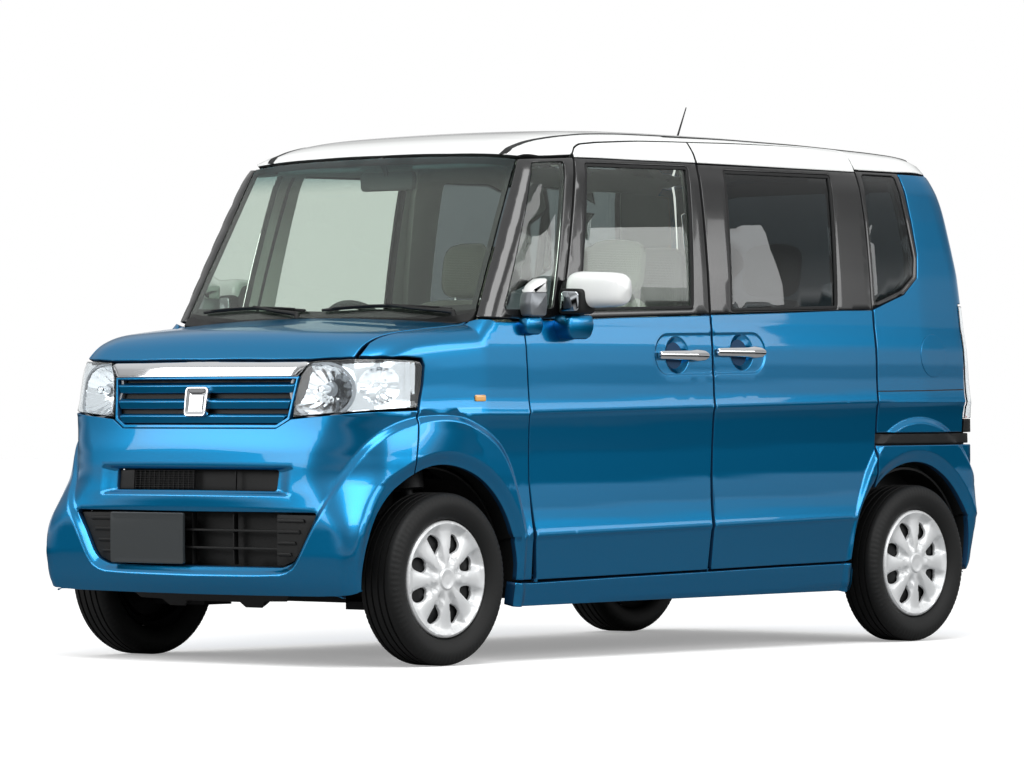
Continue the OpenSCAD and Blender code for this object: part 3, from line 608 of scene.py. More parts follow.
@dataclass(eq=False)
class Surface:
    """Maps between flat outlines and the body's surface."""

    shape: BodyShape = field(default_factory=BodyShape)
    reach: float = 1500.0

    def flat(self, domain: Domain, points: Points) -> Points:
        """Flat coordinates of 3-D points.

        Args:
            domain: the map.
            points: points near the surface.
        Returns:
            The flat coordinates.
        """
        x, y, z = np.asarray(points, float).reshape(-1, 3).T
        wrap = WRAPS.get(domain)
        if domain is Domain.SIDE:
            return np.stack([y, z], 1)
        if domain in (Domain.FRONT, Domain.BACK):
            return np.stack([x, z], 1)
        if domain is Domain.TOP:
            return np.stack([x, y], 1)
        if domain in (Domain.NOSE, Domain.CABIN):
            return np.stack([np.arctan2(x - wrap.a, wrap.b - y) * wrap.radius, z], 1)
        if domain is Domain.TAIL:
            return np.stack([np.arctan2(x - wrap.a, y - wrap.b) * wrap.radius, z], 1)
        if domain is Domain.BONNET:
            return np.stack([x, np.arctan2(z - wrap.b, wrap.a - y) * wrap.radius], 1)
        if domain is Domain.GATE:
            scale = GATE_PLANE / (y - GATE_EYE[0])
            return np.stack([x * scale, (z - GATE_EYE[1]) * scale], 1)
        angle = np.arctan2(z - wrap.b, x - wrap.a)
        return np.stack([y, angle * wrap.radius], 1)

    def rays(self, domain: Domain, flat: Points) -> tuple[Points, Points]:
        """Origins and directions that the flat points look along.

        Args:
            domain: the map.
            flat: the flat points.
        Returns:
            The origins and unit directions.
        """
        u, v = np.asarray(flat, float).T
        zero, one = np.zeros_like(u), np.ones_like(u)
        wrap = WRAPS.get(domain)
        if domain is Domain.SIDE:
            return np.stack([zero + 200, u, v], 1), np.stack([one, zero, zero], 1)
        if domain is Domain.FRONT:
            return np.stack([u, zero - 500, v], 1), np.stack([zero, -one, zero], 1)
        if domain is Domain.BACK:
            return np.stack([u, zero + 800, v], 1), np.stack([zero, one, zero], 1)
        if domain is Domain.TOP:
            return np.stack([u, v, zero + 600], 1), np.stack([zero, zero, one], 1)
        if domain in (Domain.NOSE, Domain.CABIN, Domain.TAIL):
            sign = 1 if domain is Domain.TAIL else -1
            turn = u / wrap.radius
            return (np.stack([zero + wrap.a, zero + wrap.b, v], 1),
                    np.stack([np.sin(turn), sign * np.cos(turn), zero], 1))
        if domain is Domain.GATE:
            ahead = np.stack([u, zero + GATE_PLANE, v], 1)
            return (np.stack([zero, zero + GATE_EYE[0], zero + GATE_EYE[1]], 1),
                    ahead / np.linalg.norm(ahead, axis=1, keepdims=True))
        turn = v / wrap.radius
        if domain is Domain.BONNET:
            return (np.stack([u, zero + wrap.a, zero + wrap.b], 1),
                    np.stack([zero, -np.cos(turn), np.sin(turn)], 1))
        return (np.stack([zero + wrap.a, u, zero + wrap.b], 1),
                np.stack([np.cos(turn), zero, np.sin(turn)], 1))

    def field_of(self, upper: bool) -> Callable:
        """The field of the cabin or of the lower body."""
        return self.shape.cabin if upper else self.shape.lower

    def place(self, domain: Domain, flat: Points, upper: bool,
              close: Optional[Points] = None) -> Points:
        """3-D points on the surface for flat points, by bisection along the rays.

        Args:
            domain: map of the flat points.
            flat: the flat points.
            upper: take the cabin's surface.
            close: surface points within 12 mm of the answers, to save time.
        Returns:
            The points.
        """
        origin, direction = self.rays(domain, flat)
        inside = self.field_of(upper)
        near, far, steps = np.zeros(len(origin)), np.full(len(origin), self.reach), 27
        if close is not None:
            middle = ((close - origin) * direction).sum(1)
            near, far, steps = middle - 12, middle + 12, 15
        for _ in range(steps):
            middle = (near + far) / 2
            out = inside(origin + direction * middle[:, None]) > 0
            far = np.where(out, middle, far)
            near = np.where(out, near, middle)
        return origin + direction * near[:, None]

    def normals(self, points: Points, upper: bool) -> Points:
        """Outward unit normals at surface points.

        Args:
            points: the points.
            upper: take the cabin's surface.
        Returns:
            The normals.
        """
        inside, h = self.field_of(upper), 1.5
        slope = np.stack([inside(points + d) - inside(points - d) for d in np.eye(3) * h], 1)
        return slope / np.linalg.norm(slope, axis=1, keepdims=True)

    def bulge(self, points: Points, normals: Points) -> Points:
        """Height of the flares over surface points."""
        return self.shape.bulge(points, normals, self.flat(Domain.NOSE, points))


BODY = Surface()


def lift(domain: Domain, pairs: Sequence, upper: bool = False) -> Points:
    """Surface points of flat pairs in one map, to be drawn in another."""
    return BODY.place(domain, np.array(pairs, float), upper)


def traced(domain: Domain, *parts: Points) -> Points:
    """Flat outline in a map through runs of surface points."""
    return BODY.flat(domain, np.concatenate([np.asarray(p, float).reshape(-1, 3) for p in parts]))


def whole(half: Points) -> Points:
    """Close a left half outline, given from the lower middle round to the upper middle."""
    half = np.asarray(half, float)
    right = half[::-1] * [-1, 1]
    return np.concatenate([half, right[np.abs(right[:, 0]) > 1]])

# --- Outline helpers ---


def rounded(points: Sequence, radius: float | Sequence[float], steps: int = 6) -> Points:
    """Round the corners of a closed flat outline.

    Args:
        points: corners.
        radius: one radius, or one for each corner; 0 keeps a corner.
        steps: segments in each corner.
    Returns:
        The outline's points.
    """
    pts = np.array(points, float)
    n = len(pts)
    radii = [radius] * n if np.isscalar(radius) else list(radius)
    out = []
    for i in range(n):
        before, here, after = pts[i - 1], pts[i], pts[(i + 1) % n]
        u, v = before - here, after - here
        lu, lv = np.linalg.norm(u), np.linalg.norm(v)
        reach = min(radii[i], 0.45 * lu, 0.45 * lv)
        if reach < 0.5:
            out.append(here)
            continue
        start, end = here + u / lu * reach, here + v / lv * reach
        for t in np.linspace(0, 1, steps + 1):
            out.append(start * (1 - t) ** 2 + 2 * here * t * (1 - t) + end * t * t)
    return np.array(out)


def oblong(x0: float, x1: float, z0: float, z1: float) -> Points:
    """Corners of an upright rectangle."""
    return np.array([(x0, z0), (x1, z0), (x1, z1), (x0, z1)], float)


def arc(cy: float, cz: float, radius: float, start: float, end: float,
        count: int = 24) -> Points:
    """Points of an arc, with angles in degrees."""
    turn = np.radians(np.linspace(start, end, count))
    return np.stack([cy + radius * np.cos(turn), cz + radius * np.sin(turn)], 1)


def dense(points: Points, longest: float) -> Points:
    """Split a closed outline's segments until none is longer than given.

    Args:
        points: the outline.
        longest: longest segment that stays whole.
    Returns:
        The outline with the added points.
    """
    out = []
    for a, b in zip(points, np.roll(points, -1, 0)):
        parts = max(1, int(math.ceil(np.linalg.norm(b - a) / longest)))
        out += [a + (b - a) * k / parts for k in range(parts)]
    return np.array(out)


def turned_left(points: Points) -> Points:
    """The outline in anticlockwise order."""
    x, y = points.T
    area = (x * np.roll(y, -1) - np.roll(x, -1) * y).sum()
    return points if area > 0 else points[::-1]


def shrink(points: Points, by: float) -> Points:
    """Move an anticlockwise outline inwards, with mitred corners.

    Args:
        points: the outline.
        by: distance, negative for outwards.
    Returns:
        The moved outline.
    """
    before, after = points - np.roll(points, 1, 0), np.roll(points, -1, 0) - points
    before /= np.linalg.norm(before, axis=1, keepdims=True) + 1e-9
    after /= np.linalg.norm(after, axis=1, keepdims=True) + 1e-9
    n1 = np.stack([-before[:, 1], before[:, 0]], 1)
    n2 = np.stack([-after[:, 1], after[:, 0]], 1)
    middle = n1 + n2
    middle /= np.linalg.norm(middle, axis=1, keepdims=True) + 1e-9
    cosine = np.maximum((middle * n1).sum(1), 0.5)
    return points + middle * (by / cosine)[:, None]


def band(line: Points, half: Points) -> Points:
    """Closed outline of a strip along a flat line, with its half width at each point.

    Args:
        line: the middle of the strip.
        half: half width at each of its points.
    Returns:
        The outline.
    """
    run = np.gradient(np.asarray(line, float), axis=0)
    across = np.stack([-run[:, 1], run[:, 0]], 1)
    across /= np.linalg.norm(across, axis=1, keepdims=True)
    offset = across * np.asarray(half, float)[:, None]
    return np.concatenate([line - offset, (line + offset)[::-1]])


def holds(outline: Points, points: Points) -> Points:
    """True for each point inside a closed outline.

    Args:
        outline: the outline.
        points: points to test.
    Returns:
        A truth value for each point.
    """
    x, y = points[:, 0:1], points[:, 1:2]
    x0, y0 = outline.T
    x1, y1 = np.roll(outline, -1, 0).T
    crosses = (y0 > y) != (y1 > y)
    at = x0 + (y - y0) / np.where(y1 == y0, 1e-9, y1 - y0) * (x1 - x0)
    return (crosses & (x < at)).sum(1) % 2 == 1


def away(outline: Points, points: Points) -> Points:
    """Distance of each point from a closed outline.

    Args:
        outline: the outline.
        points: the points.
    Returns:
        The distances.
    """
    a, b = outline, np.roll(outline, -1, 0)
    d = b - a
    best = np.full(len(points), 1e9)
    for i in range(len(a)):
        t = np.clip(((points - a[i]) @ d[i]) / max(d[i] @ d[i], 1e-9), 0, 1)
        best = np.minimum(best, np.linalg.norm(points - (a[i] + t[:, None] * d[i]), axis=1))
    return best


# --- Mesh builders ---


def make_piece(name: str, verts: Points, faces: Iterable, finishes: Sequence[Finish],
               body: str, slots: Optional[Sequence[int]] = None, smooth: bool = True,
               angle: float = 40.0) -> bpy.types.Object:
    """Make a mesh object from millimetre points and set it on its body.

    Args:
        name: piece name.
        verts: points in millimetres.
        faces: index tuples.
        finishes: its finishes, in slot order.
        body: CAD body that it rides on.
        slots: slot of each face.
        smooth: shade smoothly, with edges over the angle kept sharp.
        angle: that angle in degrees.
    Returns:
        The object.
    """
    mesh = bpy.data.meshes.new(name)
    mesh.from_pydata((np.asarray(verts) * MM).tolist(), [], [tuple(map(int, f)) for f in faces])
    if slots is not None:
        mesh.polygons.foreach_set("material_index", np.asarray(slots, np.int32))
    for finish in finishes:
        mesh.materials.append(finish.material())
    mesh.validate()
    mesh.update()
    piece = bpy.data.objects.new(name, mesh)
    bpy.context.scene.collection.objects.link(piece)
    if smooth:
        mesh.shade_smooth()
        mesh.set_sharp_from_angle(angle=math.radians(angle))
    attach(piece, body)
    LOG.info("%s: %d faces on %s", name, len(mesh.polygons), body)
    return piece


@dataclass
class Panel:
    """A pressed or moulded panel that follows the body's surface.

    Attributes:
        name: piece name, without its side.
        domain: flat map that the outline is drawn in.
        outline: closed outline in that map, in millimetres.
        holes: outlines of openings.
        upper: take the cabin's surface and not the lower body's.
        gap: half of the shut line all round.
        sink: depth of the panel's face under the body's surface.
        rim: width of the rounded edge.
        flange: depth of the edge that turns in.
        back: finish of a closing inner face, for a slab as thick as the flange.
        skin, edge: finishes of the face and of the turned edge; with no edge given, blue paint
            gets its darker shut-line paint, a painted shade, and any other finish runs on over the
            edge.
        pitch: spacing of the points over the face.
        relief: extra depth at surface points.
        guides: open lines in the map that the mesh follows, for creases.
        surface: the surface that it lies on.
        skin_points: flat points of the finished face, known after its mesh is made.
    """

    name: str
    domain: Domain
    outline: Points
    holes: Sequence[Points] = ()
    upper: bool = False
    gap: float = 2.2
    sink: float = 0.0
    rim: float = 3.0
    flange: float = 14.0
    back: Optional[Finish] = None
    skin: Finish = BLUE_PAINT
    edge: Optional[Finish] = None
    pitch: float = 22.0
    relief: Optional[Callable] = None
    guides: Sequence[Points] = ()
    surface: "Surface" = BODY
    skin_points: Optional[Points] = None

    def __post_init__(self) -> None:
        """Choose the turned edge's finish where none is given."""
        if self.edge is None:
            # A blue skin's turned edge gets the darker shut-line paint, a painted shade
            self.edge = SHADED_EDGE_PAINT if self.skin is BLUE_PAINT else self.skin

    def _loops(self) -> list[Points]:
        """Every outline, the outer one left-turning and the holes right-turning."""
        outer = dense(turned_left(np.asarray(self.outline, float)), self.pitch * 0.75)
        inner = [dense(turned_left(np.asarray(h, float)), self.pitch * 0.75)[::-1]
                 for h in self.holes]
        return [outer, *inner]

    def mesh(self) -> tuple[Points, list, list]:
        """Points, faces and face slots of the left or middle piece.

        Returns:
            The points, faces and face slots.
        """
        loops = self._loops()
        edge = [shrink(loop, self.gap + self.rim) for loop in loops]
        runs = self._runs(edge)
        every = np.concatenate([*edge, *runs, self._grid(edge, runs)])
        constraints, at = [], 0
        for e in edge:
            constraints += [(at + i, at + (i + 1) % len(e)) for i in range(len(e))]
            at += len(e)
        for run in runs:
            constraints += [(at + i, at + i + 1) for i in range(len(run) - 1)]
            at += len(run)
        coords, _, tris, *_ = delaunay_2d_cdt([Vector(p) for p in every], constraints, [], 0, 1e-4)
        uv = np.array([(c.x, c.y) for c in coords])
        self.skin_points = uv
        tris = [t for t in tris if len(t) == 3]
        centres = uv[np.array(tris)].mean(1)
        keep = holds(edge[0], centres)
        for e in edge[1:]:
            keep &= ~holds(e[::-1], centres)
        tris = [t for t, k in zip(tris, keep) if k]
        if len(uv) != len(every):
            LOG.warning("%s: outline crosses itself", self.name)
        faces, slots = [list(t) for t in tris], [0] * len(tris)
        points = self._drop(uv, 0.0)
        blocks, total = [points], len(points)
        start = 0
        last_rings = []
        for loop, e in zip(loops, edge):
            ring_ids = np.arange(start, start + len(e))
            start += len(e)
            rows = [(self.gap + self.rim * 0.35, 0.14 * self.rim, 0),
                    (self.gap, 0.6 * self.rim, 0), (self.gap, self.flange, 1)]
            for inset, depth, slot in rows:
                new = self._drop(shrink(loop, inset), depth)
                ids = np.arange(total, total + len(new))
                blocks.append(new)
                total += len(new)
                nxt = np.roll(ids, -1), np.roll(ring_ids, -1)
                for a, b, c, d in zip(ring_ids, ids, nxt[0], nxt[1]):
                    faces.append([a, b, c, d])
                    slots.append(slot)
                ring_ids = ids
            last_rings.append(ring_ids)
        if self.back:
            under = self._drop(uv, self.flange)
            shift = total
            blocks.append(under)
            total += len(under)
            faces += [[t[2] + shift, t[1] + shift, t[0] + shift] for t in tris]
            slots += [2] * len(tris)
            begin = 0
            for ring, e in zip(last_rings, edge):
                own = np.arange(begin, begin + len(e)) + shift
                begin += len(e)
                for a, b, c, d in zip(ring, own, np.roll(own, -1), np.roll(ring, -1)):
                    faces.append([a, b, c, d])
                    slots.append(2)
        return np.concatenate(blocks), faces, slots

    def _runs(self, edge: list[Points]) -> list[Points]:
        """The guides, split and kept where they are inside the panel.

        Args:
            edge: outlines of the flat face.
        Returns:
            The kept lines.
        """
        runs = []
        for guide in self.guides:
            line = np.asarray(guide, float)
            parts = [line[:1]]
            for a, b in zip(line, line[1:]):
                n = max(1, int(math.ceil(np.linalg.norm(b - a) / (self.pitch * 0.9))))
                parts.append(a + (b - a) * (np.arange(1, n + 1) / n)[:, None])
            line = np.concatenate(parts)
            keep = holds(edge[0], line) & (away(edge[0], line) > 3)
            for e in edge[1:]:
                keep &= ~holds(e[::-1], line) & (away(e, line) > 3)
            cut = np.flatnonzero(np.diff(keep.astype(int))) + 1
            runs += [part for part, k in zip(np.split(line, cut), np.split(keep, cut))
                     if k[0] and len(part) > 1]
        return runs

    def _grid(self, edge: list[Points], runs: list[Points]) -> Points:
        """Inner points on a grid, clear of the outlines and guides.

        Args:
            edge: outlines of the flat face.
            runs: the guides.
        Returns:
            The points.
        """
        low, high = edge[0].min(0), edge[0].max(0)
        us = np.arange(low[0] + self.pitch / 2, high[0], self.pitch)
        vs = np.arange(low[1] + self.pitch / 2, high[1], self.pitch)
        if not len(us) or not len(vs):
            return np.zeros((0, 2))
        u, v = np.meshgrid(us, vs)
        points = np.stack([u.ravel(), v.ravel()], 1)
        keep = holds(edge[0], points) & (away(edge[0], points) > self.pitch * 0.4)
        for e in edge[1:]:
            keep &= ~holds(e[::-1], points) & (away(e, points) > self.pitch * 0.4)
        points = points[keep]
        for run in runs:
            gap = np.min(np.linalg.norm(points[:, None] - run[None], axis=2), axis=1,
                         initial=1e9)
            points = points[gap > self.pitch * 0.55]
        return points

    def _drop(self, flat: Points, depth: float, close: Optional[Points] = None) -> Points:
        """Surface points under flat points, at a depth, near known ones if they are given.

        Args:
            flat: the flat points.
            depth: depth under the panel's face.
            close: known surface points near them.
        Returns:
            The points.
        """
        points = self.surface.place(self.domain, flat, self.upper, close)
        normals = self.surface.normals(points, self.upper)
        total = np.full(len(flat), self.sink + depth, float)
        if self.relief:
            total = total + self.relief(points)
        total = total - self.surface.bulge(points, normals)
        return points - normals * total[:, None]

    def _true_normals(self, total: int) -> Points:
        """Normals of the curved face at its points, and zeros for the turned edges.

        Args:
            total: number of points in the mesh.
        Returns:
            A normal for each point.
        """
        uv, h = self.skin_points, 1.2
        plain = self.surface.place(self.domain, uv, self.upper)
        along, up = (self._drop(uv + d, 0.0, plain) - self._drop(uv - d, 0.0, plain)
                     for d in (np.array([h, 0]), np.array([0, h])))
        normals = np.cross(along, up)
        normals /= np.linalg.norm(normals, axis=1, keepdims=True)
        out = self.surface.normals(plain, self.upper)
        normals *= np.sign((normals * out).sum(1, keepdims=True))
        return np.concatenate([normals, np.zeros((total - len(uv), 3))])

    def build(self, body: str = "root", mirrored: bool = False,
              suffix: str = "") -> bpy.types.Object:
        """Make the piece, or its mirror image on the right side.

        Args:
            body: CAD body that it rides on.
            mirrored: make the right-hand one.
            suffix: end of its name.
        Returns:
            The object.
        """
        points, faces, slots = self.mesh()
        if self._faces_inward(points, faces):
            faces = [f[::-1] for f in faces]
        if mirrored:
            points = points * [-1, 1, 1]
            faces = [f[::-1] for f in faces]
        finishes = [self.skin, self.edge] + ([self.back] if self.back else [])
        piece = make_piece(self.name + suffix, points, faces, finishes, body, slots)
        if self.skin in (BLUE_PAINT, WHITE_PAINT) and self.surface is BODY:
            normals = self._true_normals(len(points)) * ([-1, 1, 1] if mirrored else [1, 1, 1])
            piece.data.normals_split_custom_set_from_vertices(normals.tolist())
        return piece

    def _faces_inward(self, points: Points, faces: list) -> bool:
        """True if the face side looks into the car.

        Args:
            points: the mesh's points.
            faces: its faces.
        Returns:
            True if it has to be turned over.
        """
        a, b, c = (points[[f[i] for f in faces[:50]]] for i in range(3))
        normal = np.cross(b - a, c - a)
        out = self.surface.normals(a, self.upper)
        return (normal * out).sum() < 0


def lathe(name: str, profile: Sequence, centre: Sequence, finish: Finish | Sequence[Finish],
          body: str, steps: int = 96, along: str = "x", side: int = 1,
          ridge: Optional[Callable] = None, slots: Optional[Callable] = None,
          closed: bool = False) -> bpy.types.Object:
    """Turn a profile round an axis.

    Args:
        name: piece name.
        profile: (radius, position along the axis) pairs.
        centre: middle of the axis.
        finish: its finish or finishes.
        body: CAD body.
        steps: segments round.
        along: axis letter.
        side: 1, or -1 to mirror it along the axis.
        ridge: extra radius by (row, turn).
        slots: slot of each profile row.
        closed: join the last row to the first.
    Returns:
        The object.
    """
    rows = np.array(profile, float)
    turn = np.linspace(0, 2 * math.pi, steps, endpoint=False)
    radius = rows[:, :1] + np.zeros((1, steps))
    if ridge:
        radius = radius + np.array([[ridge(i, k) for k in range(steps)]
                                    for i in range(len(rows))])
    a, b = radius * np.cos(turn), radius * np.sin(turn)
    c = np.repeat(rows[:, 1:2], steps, 1) * side
    order = {"x": (c, a, b), "y": (a, c, b), "z": (a, b, c)}[along]
    verts = np.stack(order, 2).reshape(-1, 3) + np.array(centre)
    faces, marks, n = [], [], len(rows)
    for i in range(n if closed else n - 1):
        j = (i + 1) % n
        for k in range(steps):
            m = (k + 1) % steps
            quad = [i * steps + k, j * steps + k, j * steps + m, i * steps + m]
            faces.append(quad if side > 0 else quad[::-1])
            marks.append(slots(i) if slots else 0)
    finishes = [finish] if isinstance(finish, Finish) else list(finish)
    return make_piece(name, verts, faces, finishes, body, marks)


def tube(name: str, path: Sequence, radius: float | Sequence, finish: Finish, body: str,
         sides: int = 12, loop: bool = False) -> bpy.types.Object:
    """A round bar along a path.

    Args:
        name: piece name.
        path: points of its centre line.
        radius: one radius or one for each point.
        finish: its finish.
        body: CAD body.
        sides: sides of its section.
        loop: join its end to its start.
    Returns:
        The object.
    """
    pts = np.array(path, float)
    radii = np.broadcast_to(np.array(radius, float), (len(pts),))
    ahead = np.roll(pts, -1, 0) - np.roll(pts, 1, 0)
    if not loop:
        ahead[0], ahead[-1] = pts[1] - pts[0], pts[-1] - pts[-2]
    ahead /= np.linalg.norm(ahead, axis=1, keepdims=True)
    up = np.array([0.0, 0.0, 1.0]) if abs(ahead[0][2]) < 0.9 else np.array([1.0, 0, 0])
    turn = np.linspace(0, 2 * math.pi, sides, endpoint=False)
    verts = []
    for point, way, r in zip(pts, ahead, radii):
        a = np.cross(way, up)
        a /= np.linalg.norm(a)
        b = np.cross(a, way)
        up = b
        verts.append(point + r * (np.cos(turn)[:, None] * a + np.sin(turn)[:, None] * b))
    n, faces = len(pts), []
    for i in range(n if loop else n - 1):
        j = (i + 1) % n
        for k in range(sides):
            m = (k + 1) % sides
            faces.append([i * sides + k, i * sides + m, j * sides + m, j * sides + k])
    if not loop:
        faces += [list(range(sides))[::-1], [(n - 1) * sides + k for k in range(sides)]]
    return make_piece(name, np.concatenate(verts), faces, [finish], body)


def slab(name: str, outline: Sequence, span: tuple, finish: Finish, body: str,
         along: str = "x", bevel: float = 2.0, tilt: Optional[Callable] = None,
         ) -> bpy.types.Object:
    """An outline with a thickness and rounded edges.

    Args:
        name: piece name.
        outline: flat points: (y, z) along x, (x, z) along y, (x, y) along z.
        span: low and high position along the axis.
        finish: its finish.
        body: CAD body.
        along: axis letter.
        bevel: size of the rounded edge.
        tilt: moves the finished points.
    Returns:
        The object.
    """
    flat = turned_left(np.array(outline, float))
    low, high = span
    rows = [(bevel, low), (bevel * 0.3, low + bevel * 0.3), (0, low + bevel),
            (0, high - bevel), (bevel * 0.3, high - bevel * 0.3), (bevel, high)]
    n, verts, faces = len(flat), [], []
    for inset, at in rows:
        ring = shrink(flat, inset)
        level = np.full((n, 1), at)
        verts.append({"x": np.hstack([level, ring]),
                      "y": np.hstack([ring[:, :1], level, ring[:, 1:]]),
                      "z": np.hstack([ring, level])}[along])
    flip = along == "y"
    for i in range(len(rows) - 1):
        for k in range(n):
            m = (k + 1) % n
            quad = [i * n + k, i * n + m, (i + 1) * n + m, (i + 1) * n + k]
            faces.append(quad[::-1] if flip else quad)
    top = [(len(rows) - 1) * n + k for k in range(n)]
    faces += [top[::-1] if flip else top, list(range(n)) if flip else list(range(n))[::-1]]
    points = np.concatenate(verts)
    return make_piece(name, tilt(points) if tilt else points, faces, [finish], body)


def pad(name: str, size: Sequence, place: Callable, body: str, finish: Finish,
        seams: Sequence[float] = (), crown: float = 14.0, power: float = 5.0) -> bpy.types.Object:
    """A stuffed pad: crowned faces, sides that pull in between the corners, sewn channels.

    Args:
        name: piece name.
        size: full width (x), length (y) and thickness (z).
        place: moves points from the pad's own frame into the car.
        body: CAD body.
        finish: its cloth.
        seams: positions of sewn channels across its width, as shares of the half width.
        crown: height by which its faces swell.
        power: squareness of its outline.
    Returns:
        The object.
    """
    half = np.array(size, float) / 2
    n = 22
    grid = np.linspace(-1, 1, n)
    verts, faces, seen = [], [], {}

    def vertex(q: tuple) -> int:
        """Index of a point, which is added once.

        Args:
            q: the point.
        Returns:
            Its index.
        """
        key = tuple(round(c, 4) for c in q)
        if key not in seen:
            seen[key] = len(verts)
            verts.append(q)
        return seen[key]
    for axis in range(3):
        for end in (-1.0, 1.0):
            for i in range(n - 1):
                for j in range(n - 1):
                    quad = []
                    for a, b in ((i, j), (i + 1, j), (i + 1, j + 1), (i, j + 1)):
                        q = [grid[a], grid[b]]
                        q.insert(axis, end)
                        quad.append(vertex(tuple(q)))
                    outward = (axis != 1) == (end > 0)
                    faces.append(quad if outward else quad[::-1])
    q = np.array(verts)
    length = (np.abs(q) ** power).sum(1) ** (1 / power)
    round_q = q / length[:, None]
    pull = 1 - 0.035 * (1 - np.abs(round_q[:, 1:2]) ** 2)
    xyz = round_q * half
    xyz[:, 0] *= pull[:, 0]
    over = np.clip(1 - round_q[:, 0] ** 2, 0, 1) * np.clip(1 - round_q[:, 1] ** 2, 0, 1)
    xyz[:, 2] += np.sign(round_q[:, 2]) * (crown * over - crown) * (np.abs(round_q[:, 2]) > 0.3)
    for seam in seams:
        groove = np.exp(-((round_q[:, 0] - seam) / 0.035) ** 2)
        xyz[:, 2] -= 7 * groove * (round_q[:, 2] > 0.2)
    welt = np.exp(-((np.abs(round_q[:, 2]) - 0.35) / 0.06) ** 2)
    xyz[:, :2] *= 1 - 0.008 * welt[:, None]
    piece = make_piece(name, place(xyz), faces, [finish], body, angle=80)
    return piece


@dataclass(eq=False)
class Disc:
    """A dished disc that faces +X, for wheel covers; it stands in for the body's surface."""

    centre: tuple
    height: Callable

    def place(self, domain: Domain, flat: Points, upper: bool,
              close: Optional[Points] = None) -> Points:
        """Points of the disc over flat (y, z) offsets."""
        x = self.centre[0] + self.height(flat)
        return np.stack([x, flat[:, 0] + self.centre[1], flat[:, 1] + self.centre[2]], 1)

    def normals(self, points: Points, upper: bool) -> Points:
        """The disc's axis at every point."""
        return np.tile([1.0, 0.0, 0.0], (len(points), 1))

    def bulge(self, points: Points, normals: Points) -> Points:
        """No flares on a disc."""
        return np.zeros(len(points))


def both_sides(panel: Panel, left_body: str = "root",
               right_body: str = "root") -> list[bpy.types.Object]:
    """Build a panel on the left side and its mirror image on the right."""
    return [panel.build(left_body, False, "_left"), panel.build(right_body, True, "_right")]

# --- Front of the car ---

FRONT_ARCH = (-1252.5, 290.0, 354.0)
REAR_ARCH = (1269.5, 285.0, 352.0)


def flare_guides(domain: Domain, rear: bool = False) -> list[Points]:
    """Lines beside a flare's crease, in a map.

    Args:
        domain: map that the lines are given in.
        rear: take the rear flare and not the front one.
    Returns:
        The lines.
    """
    shape = BODY.shape
    line = np.array([(nose_arc(x, y), z) for x, y, z in softened(shape.front_flare)])
    if rear:
        line = softened(shape.rear_flare)
    ahead = np.gradient(line, axis=0)
    across = np.stack([-ahead[:, 1], ahead[:, 0]], 1)
    across /= np.linalg.norm(across, axis=1, keepdims=True)
    start = Domain.SIDE if rear else Domain.NOSE
    found = []
    for offset in (-14, -9, -4, 0, 4, 9, 14):
        found.append(BODY.flat(domain, lift(start, line + across * offset)))
    return found


def lip_guides(domain: Domain, lip: tuple) -> list[Points]:
    """Arcs beside an arch's rolled lip, in a map."""
    cy, cz, _, outer = lip
    return [BODY.flat(domain, lift(Domain.SIDE, arc(cy, cz, outer + d, -12, 192, 60)))
            for d in (-36, -24, -14, -6, 1, 8)]


def crease_guides(y0: float, y1: float) -> list[Points]:
    """Lines beside the two creases along the doors, in the side map."""
    return [np.array([(y, z + CREASE_RISE * (y - 300)) for y in (y0, y1)], float)
            for z in (403, 414, 423, 428, 433, 446, 459, 804, 815, 826, 831, 836, 849, 862)]


